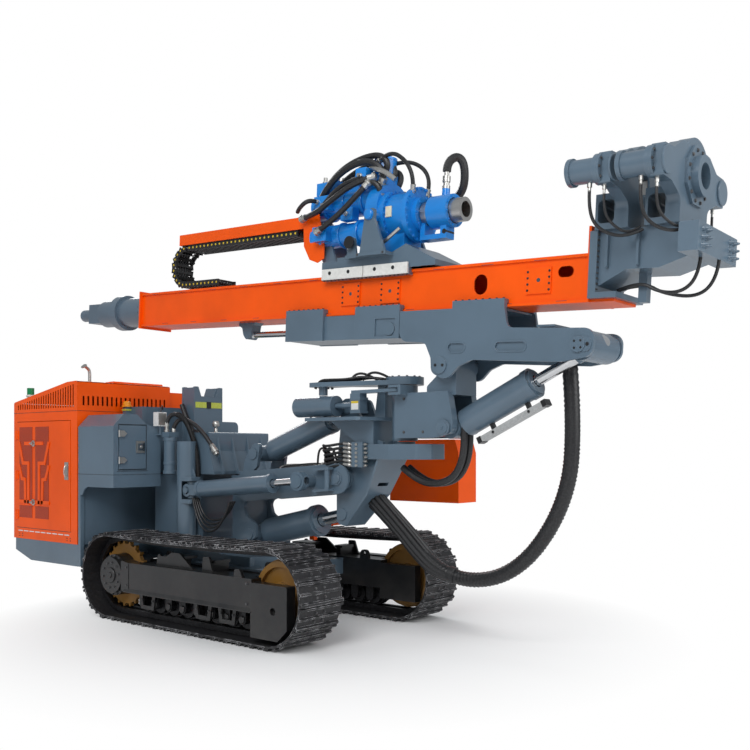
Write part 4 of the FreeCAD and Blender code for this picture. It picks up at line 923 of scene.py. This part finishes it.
def valve_details(finishes):
    """Valve block on the post, with the hoses that bend from it down to the arm."""
    bm = new_shape()
    rubber, zinc, grey = range(3)
    heights = [1.515 + i * 0.037 for i in range(6)]
    add_block(bm, (1.30, -0.245, 1.50), (1.42, -0.185, 1.72), grey)
    for z in heights:
        for x in (1.298, 1.422):
            add_fitting(bm, at(x, -0.215, z), Vector((-1 if x < 1.35 else 1, 0, 0)), (0.014, 0.018),
                        (0.010, 0.035), zinc)
        add_fitting(bm, at(1.36, -0.244, z), RIGHT, (0.013, 0.012), (0.007, 0.02), zinc)
    add_turned(bm, TILT_FOOT + RIGHT * 0.217, RIGHT, ((0, 0.066), (0.006, 0.066), (0.008, 0.05),
               (0.016, 0.05), (0.018, 0.012), (0.026, 0.012)), grey, 24)
    finish_piece("valve_block", bm, pick(finishes, "rubber zinc grey"), "post_body")

    bm = new_shape()
    for i, z in enumerate(heights):
        y = -0.27 + 0.008 * (i % 2)
        points = [(1.265, -0.215, z), (1.20, -0.225, z + 0.012), (1.06 - 0.012 * i, y, z - 0.02),
                  (0.99 - 0.01 * i, y + 0.03, z - 0.05 + 0.01 * i), (0.93, -0.17 + 0.03 * i, 1.54),
                  (0.82, -0.15 + 0.03 * i, 1.50)]
        add_hose(bm, points, 0.0125, rubber, ends=zinc)
    for i in range(3):
        x = 0.78 + 0.09 * i
        add_hose(bm, ((x, -0.12, 1.50), (x + 0.01, -0.13, 1.63), (x + 0.08, -0.14, 1.68),
                      (x + 0.15, -0.14, 1.63), (x + 0.16, -0.13, 1.52)), 0.010, rubber)
    hoses = finish_piece("valve_hoses", bm, pick(finishes, "rubber zinc"), None)
    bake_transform(hoses)


def post_details(finishes):
    """Hoses over the post's plate, the pair that loops to the swivel block and a blank plate."""
    bm = new_shape()
    for i in range(5):
        y = -0.30 + 0.035 * i
        wave = 0.02 * math.sin(i * 1.9)
        add_hose(bm, ((0.92 + 0.02 * i, y, 2.20), (0.96, y, 2.275), (1.08, y + 0.03 + wave, 2.275),
                      (1.24, y + 0.06 - wave, 2.272), (1.38, y + 0.13 + wave, 2.30), (1.50, y + 0.20, 2.272)),
                 0.012, 0)
    for i in range(2):
        x = 1.36 - 0.16 * i
        add_hose(bm, ((x, -0.16 + 0.02 * i, 2.265), (x + 0.02, -0.12, 2.33), (x + 0.12, -0.06, 2.335),
                      (x + 0.20, 0.0, 2.27)), 0.011, 0)
    finish_piece("plate_hoses", bm, pick(finishes, "rubber"), "post_body")

    bm = new_shape()
    for y in (-0.04, 0.045):
        add_hose(bm, ((2.36, y - 0.02, 1.86), (2.36, y, 1.66), (2.27, y + 0.01, 1.44), (2.10, y, 1.36),
                      (1.88, y, 1.38), (1.72, y - 0.01, 1.50)), 0.030, steps=12)
    bent = finish_piece("swivel_hoses", bm, pick(finishes, "rubber"), None)
    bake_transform(bent)

    bm = new_shape()
    add_block(bm, (1.345, -0.2995, 2.0), (1.425, -0.2975, 2.075), 0)
    add_block(bm, (1.345, -0.300, 2.055), (1.425, -0.2972, 2.0745), 1)
    finish_piece("clevis_plate", bm, pick(finishes, "label yellow"), "swivel_rod_body")


def boom_bolts(finishes):
    """Bolts of the swivel block's sides, of the king pin's cap and of the post's plate."""
    rows = []
    for side in (-1, 1):
        out = Vector((0, side, 0))
        rows += circle_rows(at(TILT_PIN[0], side * 0.205, TILT_PIN[1]), out, 0.055, 6, 0.009)
        rows += [(at(x, side * 0.205, z), out, 0.011) for x, z in ((1.85, 1.80), (2.05, 1.80), (1.85, 2.08))]
    scatter_bolts("swivel_bolts", "swivel_body", rows, finishes["cast"])
    rows = circle_rows(at(1.705, 0, 2.281), UP, 0.135, 12, 0.012)
    rows += [(at(x, y, 1.937), UP, 0.011) for x in (0.92, 1.04) for y in (-0.36, -0.19)]
    scatter_bolts("post_bolts", "post_body", rows, finishes["cast"])


# Mast


def mast_bolts(finishes):
    """Bolts of the mast's pads and ends, the cradle, the feed drive and the clamps."""
    rows = []
    for side in (-1, 1):
        out = mast_way(0, side, 0)
        for centre in MAST_PAD_X:
            for edge in (-0.092, 0.092):
                rows += line_rows(on_mast(centre + edge, side * 0.196, 0.565),
                                  on_mast(centre + edge, side * 0.196, 0.705), 4, out, 0.0085)
        rows += line_rows(on_mast(1.262, side * 0.205, 0.50), on_mast(1.262, side * 0.205, 0.93), 9,
                          out, 0.007)
    scatter_bolts("mast_bolts", "mast_body", rows, finishes["black"])

    rows = []
    for x0, x1 in ((-1.76, -1.33), (-0.91, -0.46), (0.12, 0.565)):
        for side in (-1, 1):
            rows += line_rows(on_mast(x0, side * 0.228, 0.512), on_mast(x1, side * 0.228, 0.512), 8,
                              MAST_UP, 0.012)
    for side in (-1, 1):
        out = mast_way(0, side, 0)
        rows += circle_rows(on_mast(1.225, side * 0.266, 0.144), out, 0.036, 4, 0.008)
        rows.append((on_mast(1.30, side * 0.258, 0.145), out, 0.012))
        rows += [(on_mast(dx, side * 0.262, 0), out, 0.011) for dx in (-0.035, 0.035)]
    scatter_bolts("cradle_bolts", "cradle_body", rows, finishes["black"])

    rows = []
    for x, radius, count, size in ((-4.161, 0.180, 20, 0.011), (-4.582, 0.186, 24, 0.011),
                                   (-4.698, 0.186, 24, 0.010), (-4.998, 0.138, 12, 0.011)):
        rows += circle_rows(on_mast(x, 0, 0.64), -MAST_AHEAD, radius, count, size)
    for side in (-1, 1):
        for y in (0.212, 0.228):
            rows += line_rows(on_mast(1.331, side * y, 0.50), on_mast(1.331, side * y, 0.93), 12,
                              MAST_AHEAD, 0.007)
    rows += circle_rows(on_mast(1.951, 0, BORE_Z), MAST_AHEAD, 0.178, 12, 0.013)
    for x in CLAMP_X:
        for side in (-1, 1):
            y = side * CLAMP_Y
            rows += circle_rows(on_mast(x, y, BORE_Z), MAST_AHEAD, 0.086, 8, 0.010)
            rows += circle_rows(on_mast(x + 0.066, y, BORE_Z), MAST_AHEAD, 0.07, 6, 0.010)
    scatter_bolts("clamp_bolts", "mast_body", rows, finishes["cast"])


def mast_trim(finishes):
    """Weld dashes and pad caps of the mast, and the rims of the clamps' drums."""
    bm = new_shape()
    dark, rim = 0, 4
    for side in (-1, 1):
        y0, y1 = sorted((side * 0.1995, side * 0.2012))
        for i in range(11):
            x = -3.9 + i * 0.47
            add_block(bm, (x, y0, 0.7865), (x + 0.11, y1, 0.7895), dark, on_mast)
            add_block(bm, (x + 0.2, y0, 0.4705), (x + 0.29, y1, 0.4735), dark, on_mast)
        for centre in MAST_PAD_X:
            add_drum(bm, on_mast(centre, side * 0.186, 0.64), on_mast(centre, side * 0.1975, 0.64), 0.016,
                     dark, 14)
    for x in CLAMP_X:
        for side in (-1, 1):
            y = side * CLAMP_Y
            add_turned(bm, on_mast(x - 0.024, y, BORE_Z), MAST_AHEAD, ((0, 0.1065), (0.008, 0.1065)), rim, 28)
            add_drum(bm, on_mast(x + 0.064, y, BORE_Z), on_mast(x + 0.080, y, BORE_Z), 0.092, rim, 24)
    finish_piece("mast_trim", bm, pick(finishes, "dark_grey orange zinc red grey"), "mast_body")


CHAIN_BEND = (-3.45, 1.070)
CHAIN_R = 0.1925
CHAIN_TURNS = 10


def chain_stations():
    """Places of the cable chain's links as (x, z, turn): over the mast, round the bend and back."""
    middle_x, middle_z = CHAIN_BEND
    stations = [(-1.83 - 0.06 * i, middle_z + CHAIN_R, 0.0) for i in range(27)]
    for i in range(CHAIN_TURNS):
        turn = math.pi / 2 + math.pi * (i + 0.5) / CHAIN_TURNS
        stations.append((middle_x + CHAIN_R * math.cos(turn), middle_z + CHAIN_R * math.sin(turn),
                         turn - math.pi / 2))
    return stations + [(-3.42 + 0.06 * i, middle_z - CHAIN_R, math.pi) for i in range(9)]


def energy_chain_links(finishes):
    """Links of the cable chain, each with a yellow mark on its sides, and the cables inside."""
    bm = new_shape()
    plastic, yellow, rubber = range(3)
    for x, z, turn in chain_stations():
        cos, sin = math.cos(turn), math.sin(turn)

        def place(u, y, w):
            return on_mast(x - (u * cos - w * sin), y, z + (u * sin + w * cos))

        for side in (-1, 1):
            y0, y1 = sorted((side * 0.104, side * 0.120))
            add_block(bm, (-0.0285, y0, -0.032), (0.0285, y1, 0.032), plastic, place)
            add_turned(bm, place(0.0, side * 0.119, 0.0), mast_way(0, side, 0),
                       ((0, 0.011), (0.0025, 0.011)), yellow, 8)
        add_block(bm, (-0.012, -0.106, 0.024), (0.012, 0.106, 0.031), plastic, place)
        add_block(bm, (-0.012, -0.106, -0.031), (0.012, 0.106, -0.024), plastic, place)
    route = ((-1.80, 1.2625), (-2.6, 1.2625), (-3.40, 1.2625), (-3.645, 1.262), (-3.645, 1.07),
             (-3.645, 0.878), (-3.40, 0.8775), (-2.92, 0.8775))
    for y in (-0.07, -0.035, 0.0, 0.035, 0.07):
        line = smooth_line([on_mast(x, y, z) for x, z in route], 8)
        add_tube(bm, line, 0.014, rubber, 8)
    links = finish_piece("energy_chain_links", bm, pick(finishes, "plastic yellow rubber"), None)
    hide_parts("energy_chain")
    on_mast(-3.45, 0, 0.90)
    on_mast(-3.45, 0, 1.24)
    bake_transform(links)


# Drill head and clamps


def motor_details(finishes):
    """Flanges, end caps, port blocks, side plate and crossing hoses of the drill head's motors."""
    bm = new_shape()
    rubber, zinc, blue, orange = range(4)
    motors = ((0.0, 1.485, 0.118, -1.64), (-0.06, 1.195, 0.105, -1.60))
    rows = []
    for y, z, radius, end in motors:
        for x, extra, wide in ((-1.02, 0.016, 0.035), (-1.24, 0.010, 0.022), (-1.46, 0.013, 0.03)):
            rim = radius + extra
            add_turned(bm, on_mast(x, y, z), MAST_BACK, ((0, rim), (0.004, rim + 0.003),
                       (wide - 0.004, rim + 0.003), (wide, rim)), blue, 28)
            rows += circle_rows(on_mast(x - wide, y, z), MAST_BACK, rim - 0.008, 10, 0.008)
        add_turned(bm, on_mast(end, y, z), MAST_BACK, ((0, radius * 0.8), (0.02, radius * 0.78),
                   (0.024, radius * 0.5), (0.05, radius * 0.45), (0.054, 0.02)), blue, 24)
    blocks = (((-1.60, -0.09, 1.585), (-1.34, 0.09, 1.70)), ((-1.54, -0.185, 1.42), (-1.36, -0.10, 1.55)),
              ((-1.50, -0.235, 1.13), (-1.33, -0.15, 1.26)), ((-1.20, -0.19, 1.30), (-1.06, -0.10, 1.41)),
              ((-1.02, -0.215, 1.60), (-0.90, -0.11, 1.73)), ((-1.30, -0.05, 1.59), (-1.12, 0.05, 1.65)))
    for low, high in blocks:
        add_block(bm, low, high, blue, on_mast)
    right = mast_way(0, -1, 0)
    for x, y, z in ((-1.49, -0.185, 1.50), (-1.41, -0.185, 1.46), (-1.42, -0.235, 1.20),
                    (-0.96, -0.215, 1.66), (-1.13, -0.19, 1.355)):
        add_fitting(bm, on_mast(x, y, z), right, (0.024, 0.016), (0.016, 0.04), zinc)
    for x, y in ((-1.54, -0.04), (-1.54, 0.04), (-1.42, 0.0), (-1.40, 0.06)):
        add_fitting(bm, on_mast(x, y, 1.70), MAST_UP, (0.026, 0.02), (0.018, 0.06), zinc)
    add_hose(bm, ((-0.80, -0.20, 1.64), (-0.98, -0.262, 1.60), (-1.25, -0.27, 1.47), (-1.45, -0.25, 1.38),
                  (-1.68, -0.20, 1.36)), 0.025, rubber, on_mast, zinc)
    add_hose(bm, ((-0.86, -0.21, 1.60), (-0.96, -0.27, 1.47), (-1.12, -0.285, 1.34), (-1.28, -0.29, 1.25),
                  (-1.42, -0.27, 1.20)), 0.025, rubber, on_mast, zinc)
    add_hose(bm, ((-1.49, -0.22, 1.50), (-1.50, -0.30, 1.50), (-1.60, -0.31, 1.44), (-1.68, -0.25, 1.42)),
             0.020, rubber, on_mast)
    plate = ((-1.70, 1.40), (-1.50, 1.40), (-1.42, 1.10), (-1.42, 0.99), (-1.50, 0.955), (-1.60, 0.99),
             (-1.68, 1.12))
    add_prism(bm, [on_mast(x, -0.152, z) for x, z in plate], mast_way(0, 0.008, 0), orange)
    finish_piece("motor_details", bm, pick(finishes, "rubber zinc blue orange"), "head_body")
    scatter_bolts("motor_bolts", "head_body", rows, finishes["blue"])


def guide_rail(finishes):
    """Pale rail that lies under the tilt cylinder, with its two brackets."""
    way = (TILT_EYE - TILT_FOOT).normalized()
    down = Vector((way.z, 0, -way.x))

    def place(u, y, w):
        return TILT_FOOT + way * u + down * w + Vector((0, y, 0))

    bm = new_shape()
    rail, black = range(2)
    add_block(bm, (0.16, -0.040, 0.170), (0.83, 0.040, 0.215), rail, place)
    add_block(bm, (0.15, -0.044, 0.166), (0.19, 0.044, 0.219), black, place)
    add_block(bm, (0.80, -0.044, 0.166), (0.84, 0.044, 0.219), black, place)
    for u in (0.30, 0.66):
        add_block(bm, (u, -0.020, 0.10), (u + 0.03, 0.020, 0.172), black, place)
        add_drum(bm, place(u + 0.015, -0.040, 0.192), place(u + 0.015, -0.046, 0.192), 0.012, black, 8)
    finish_piece("cylinder_rail", bm, pick(finishes, "rail black"), "tilt_barrel_body")


def head_bolts(finishes):
    """Flange bolts of the drill head and the screws of its guide pads."""
    rows = []
    for x, radius, count in ((-0.739, 0.222, 20), (-0.679, 0.221, 24), (-0.434, 0.221, 22),
                             (-0.389, 0.128, 8)):
        rows += circle_rows(on_mast(x, 0, BORE_Z), MAST_AHEAD, radius, count, 0.011)
    rows += [(p, MAST_BACK, 0.011) for p in ring_points(on_mast(-0.481, 0, BORE_Z), MAST_AHEAD, 0.221, 22)]
    for x, radius, count, size in ((-0.089, 0.122, 10, 0.009), (-0.739, 0.222, 20, 0.014),
                                   (-0.434, 0.221, 22, 0.014)):
        rows += circle_rows(on_mast(x, 0, BORE_Z), MAST_AHEAD, radius, count, size)
    scatter_bolts("head_bolts", "head_body", rows, finishes["blue"])

    rows = []
    for side in (-1, 1):
        out = mast_way(0, side, 0)
        rows += line_rows(on_mast(-1.32, side * 0.244, 0.764), on_mast(-0.38, side * 0.244, 0.764), 22,
                          MAST_DOWN, 0.010)
        rows += [(on_mast(x, side * 0.345, 0.944), out, 0.010) for x in (-0.85, -0.57)]
    scatter_bolts("pad_bolts", "head_body", rows, finishes["cast"])


def head_details(finishes):
    """Thick hoses, fittings, plates and caps of the drill head."""
    bm = new_shape()
    rubber, zinc, cream, blue, dark = range(5)
    for side in (-1, 1):
        for x in (-1.24, -1.02, -0.72, -0.52):
            add_drum(bm, on_mast(x, side * 0.2615, 0.825), on_mast(x, side * 0.2635, 0.825), 0.017, dark, 14)
        out = mast_way(0, side, 0)
        add_turned(bm, on_mast(-0.746, side * 0.342, 1.28), out, ((0, 0.043), (0.01, 0.043),
                   (0.014, 0.036)), blue, 20)
        add_turned(bm, on_mast(-0.955, side * 0.30, 1.06), out, ((0, 0.02), (0.03, 0.02),
                   (0.032, 0.055), (0.045, 0.055)), dark, 18)
    add_block(bm, (-0.665, -0.213, 1.27), (-0.60, -0.205, 1.36), cream, on_mast)
    add_turned(bm, on_mast(-0.19, 0, 1.49), MAST_UP, ((0, 0.034), (0.03, 0.034), (0.032, 0.026),
               (0.06, 0.026), (0.062, 0.034), (0.11, 0.034), (0.112, 0.022), (0.16, 0.020)), zinc, 12)
    add_hose(bm, ((-0.19, 0, 1.64), (-0.19, 0.0, 1.72), (-0.12, 0.06, 1.78), (-0.09, 0.12, 1.70),
                  (-0.12, 0.16, 1.50), (-0.30, 0.20, 1.42), (-0.6, 0.24, 1.50), (-1.0, 0.22, 1.62),
                  (-1.5, 0.12, 1.55), (-1.66, 0.08, 1.38)), 0.036, rubber, on_mast)
    bundle = ((-0.18, 1.58, 0.030, -0.92, 1.78), (-0.12, 1.66, 0.028, -0.86, 1.84),
              (0.02, 1.60, 0.030, -0.88, 1.82), (0.10, 1.54, 0.028, -0.80, 1.74),
              (-0.22, 1.44, 0.026, -0.95, 1.62))
    for y, z, radius, x_top, z_top in bundle:
        add_hose(bm, ((-0.84 + abs(y) * 0.2, y * 0.7, z), (-0.72, y * 0.8, z + 0.10),
                      (x_top, y, z_top + 0.03), (-1.22, y, z_top - 0.03), (-1.50, y * 0.7, z_top - 0.20),
                      (-1.66, y * 0.45, 1.36)), radius, rubber, on_mast, zinc)
    for i, y in enumerate((-0.10, 0.06)):
        add_hose(bm, ((-0.86, y, 1.80), (-0.70, y * 1.4, 1.86 - 0.03 * i), (-0.50, y * 1.6, 1.74),
                      (-0.42, y * 1.5, 1.58), (-0.45, y * 1.2, 1.47)), 0.018, rubber, on_mast, zinc)
    add_hose(bm, ((-0.90, -0.15, 1.74), (-0.80, -0.20, 1.70), (-0.68, -0.21, 1.66), (-0.58, -0.20, 1.58)),
             0.022, zinc, on_mast)
    add_hose(bm, ((-0.50, -0.215, 1.16), (-0.56, -0.235, 1.11), (-0.63, -0.24, 1.06), (-0.70, -0.23, 1.03)),
             0.016, zinc, on_mast)
    add_turned(bm, on_mast(-0.86, 0, 1.822), MAST_UP, ((0, 0.105), (0.02, 0.105), (0.024, 0.06),
               (0.05, 0.05), (0.055, 0.02)), blue, 20)
    add_block(bm, (-0.41, -0.05, 1.195), (-0.36, 0.05, 1.24), blue, on_mast)
    add_drum(bm, on_mast(-0.15, -0.062, 1.13), on_mast(-0.15, 0.062, 1.13), 0.022, dark, 14)
    finish_piece("head_hoses", bm, pick(finishes, "rubber zinc cream blue black grey"), "head_body")


def clamp_details(finishes):
    """Hanging hoses of the rod clamps and the hose loops under the foot."""
    bm = new_shape()
    rubber, zinc = range(2)
    for x in (1.37, 1.74):
        for side in (-1, 1):
            y = side * CLAMP_Y
            add_fitting(bm, on_mast(x + 0.02, y, 1.222), MAST_DOWN, (0.018, 0.03), (0.012, 0.06), zinc, 8)
            add_hose(bm, ((x + 0.02, y, 1.17), (x + 0.02, y, 1.02), (x + 0.08, y * 0.88, 0.90),
                          (x + 0.22, y * 0.66, 0.86), (x + 0.30, y * 0.47, 0.93)), 0.012, rubber, on_mast)
            add_fitting(bm, on_mast(x + 0.13, y, 1.205), MAST_DOWN, (0.014, 0.04), (0.010, 0.07), zinc, 8)
            add_hose(bm, ((x + 0.13, y, 1.14), (x + 0.13, y, 1.02), (x + 0.17, y * 0.86, 0.93),
                          (x + 0.23, y * 0.60, 0.89), (x + 0.28, y * 0.47, 0.95)), 0.010, rubber, on_mast)
    for i, reach in enumerate((0.0, 0.07)):
        y = -0.10 + 0.16 * i
        add_hose(bm, ((2.03 + reach, y, 0.735), (2.02 + reach, y, 0.60),
                      (1.90 + reach, y * 0.8, 0.50 - 0.02 * i), (1.72, y * 0.6, 0.52),
                      (1.60, y * 0.5 - 0.03, 0.60), (1.42, -0.06, 0.545)), 0.0125, rubber, on_mast)
    finish_piece("clamp_hoses", bm, pick(finishes, "rubber zinc steel grey"), "mast_body")


# Hose loop

HOSE_ROUTE = ((3.192, 0.145, 2.490), (3.250, 0.145, 1.950), (3.200, 0.145, 1.250), (2.760, 0.130, 0.640),
              (2.150, 0.110, 0.520), (1.676, 0.070, 0.860), (1.352, 0.041, 1.166))
SLEEVE_R = 0.064
SLEEVE_RIBS = (0.034, 0.007)
BAND_X = 2.13
FAN_COUNT = 11


def hose_bundle(finishes):
    """Ribbed sleeve that hangs in a loop, its band, its end fittings and the hoses that fan out."""
    line = smooth_line([at(*p) for p in HOSE_ROUTE], 40)
    total = sum((b - a).length for a, b in zip(line, line[1:]))
    bm = new_shape()
    add_tube(bm, line, SLEEVE_R, 0, 20, SLEEVE_RIBS)
    sleeve = finish_piece("hose_sleeve", bm, pick(finishes, "sleeve"), None, 1.2)
    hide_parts("hose_loop")

    bm = new_shape()
    rubber = 0
    cut = next(i for i, p in enumerate(line) if p.x < at(BAND_X, 0, 0).x)
    band = line[cut]
    way = (line[cut + 1] - line[cut - 1]).normalized()
    add_turned(bm, band - way * 0.03, way, ((0, 0.066), (0.006, 0.073), (0.054, 0.073), (0.06, 0.066)),
               rubber, 24)
    for i in range(FAN_COUNT):
        angle = 2 * math.pi * i / FAN_COUNT
        y = 0.075 * math.cos(angle)
        spread = 0.5 + 0.5 * math.sin(angle)
        foot = (1.32 + 0.07 * spread, 0.04 + 1.1 * y, 1.14 + 0.11 * spread)
        points = [(2.16, 0.11 + 0.6 * y, 0.565 + 0.03 * math.sin(angle)),
                  (2.00, 0.10 + 1.1 * y, 0.60 + 0.05 * math.sin(angle)),
                  (1.80 + 0.03 * spread, 0.085 + 1.3 * y, 0.76 + 0.06 * math.sin(angle)),
                  (1.59 + 0.06 * spread, 0.06 + 1.3 * y, 0.93 + 0.08 * spread), foot]
        add_hose(bm, points, 0.021, rubber, at, None, 8)
    for spot, beyond in ((line[0], line[1]), (line[-1], line[-2])):
        way = (beyond - spot).normalized()
        add_turned(bm, spot - way * 0.001, way, ((0, 0.071), (0.03, 0.071), (0.034, 0.066),
                   (0.10, 0.0625)), rubber, 24)
    fan = finish_piece("hose_fan", bm, pick(finishes, "rubber zinc lime"), None)
    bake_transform(sleeve)
    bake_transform(fan)
    tuple(line[0])
    [tuple(p) for p in line]


# Stage

CAMERA_SPOT = (6.56, -6.30, 1.65)
CAMERA_TURN = 39.5


def area_light(name, place, aim, size, power):
    """Soft square lamp turned towards a point."""
    lamp = bpy.data.lights.new(name, "AREA")
    lamp.size = size
    lamp.energy = power
    holder = bpy.data.objects.new(name, lamp)
    bpy.context.scene.collection.objects.link(holder)
    holder.location = place
    holder.rotation_euler = (Vector(aim) - Vector(place)).to_track_quat("-Z", "Y").to_euler()


def camera_white(tree, shaded, plain, share):
    """Shows plain white in place of the shaded surface, by the share of it that the camera sees."""
    choose = node(tree, "ShaderNodeMixShader", {"Fac": share})
    tree.links.new(shaded.outputs[0], choose.inputs[1])
    tree.links.new(plain.outputs[0], choose.inputs[2])
    return choose.outputs[0]


def white_world(scene):
    """Cool light from all round, seen as white."""
    world = bpy.data.worlds.new("studio")
    world.use_nodes = True
    scene.world = world
    tree = world.node_tree
    light = feed(tree, tree.nodes["Background"], {"Color": (0.92, 0.96, 1.0, 1), "Strength": 0.42})
    plain = node(tree, "ShaderNodeBackground", {"Color": (1, 1, 1, 1)})
    seen = node(tree, "ShaderNodeLightPath").outputs["Is Camera Ray"]
    tree.links.new(camera_white(tree, light, plain, seen), tree.nodes["World Output"].inputs["Surface"])


def white_floor(scene):
    """Pale floor that keeps the machine's shadow and fades to white around it."""
    mesh = bpy.data.meshes.new("floor")
    reach = 60.0
    mesh.from_pydata([(-reach, -reach, 0), (reach, -reach, 0), (reach, reach, 0), (-reach, reach, 0)],
                     [], [(0, 1, 2, 3)])
    floor = bpy.data.objects.new("floor", mesh)
    scene.collection.objects.link(floor)
    material, tree, shader = surface("studio floor", 0.9)
    shader.inputs["Base Color"].default_value = (0.93, 0.93, 0.93, 1)
    distance = vector_node(tree, "LENGTH", {0: object_place(tree)}).outputs["Value"]
    seen = node(tree, "ShaderNodeLightPath").outputs["Is Camera Ray"]
    share = math_node(tree, "MULTIPLY", ramp(tree, distance, 1.2, 3.4), seen)
    plain = node(tree, "ShaderNodeEmission", {"Strength": 1.0})
    tree.links.new(camera_white(tree, shader, plain, share),
                   tree.nodes["Material Output"].inputs["Surface"])
    mesh.materials.append(material)


def build_stage():
    """White surroundings, soft lamps and the photographed camera."""
    scene = bpy.context.scene
    scene.view_settings.view_transform = "Standard"
    white_world(scene)
    white_floor(scene)
    area_light("key", (4.0, -9.0, 8.5), (0.3, 0, 1.6), 6.0, 700)
    area_light("fill", (10.0, 1.0, 5.0), (0.3, 0, 1.8), 6.0, 300)
    area_light("rim", (-7.0, 5.0, 7.5), (0, 0, 2.0), 5.0, 330)

    camera = bpy.data.cameras.new("camera")
    camera.sensor_width = 36.0
    camera.lens = 43.87
    camera.shift_y = 0.1
    holder = bpy.data.objects.new("camera", camera)
    scene.collection.objects.link(holder)
    holder.location = at(*CAMERA_SPOT)
    holder.rotation_euler = (math.radians(90), 0, math.radians(CAMERA_TURN))
    scene.camera = holder


def main():
    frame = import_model()
    finishes = make_finishes()
    dress_nodes(frame, finishes)
    dress_rods(frame)
    for details in (hose_bundle, track_details, door_skin, hood_details, control_box_details,
                    deck_details, arm_details, valve_details, post_details, boom_bolts, mast_bolts,
                    mast_trim, energy_chain_links, motor_details, guide_rail, head_bolts, head_details,
                    clamp_details):
        details(finishes)
    build_stage()
    bpy.context.view_layer.update()


main()
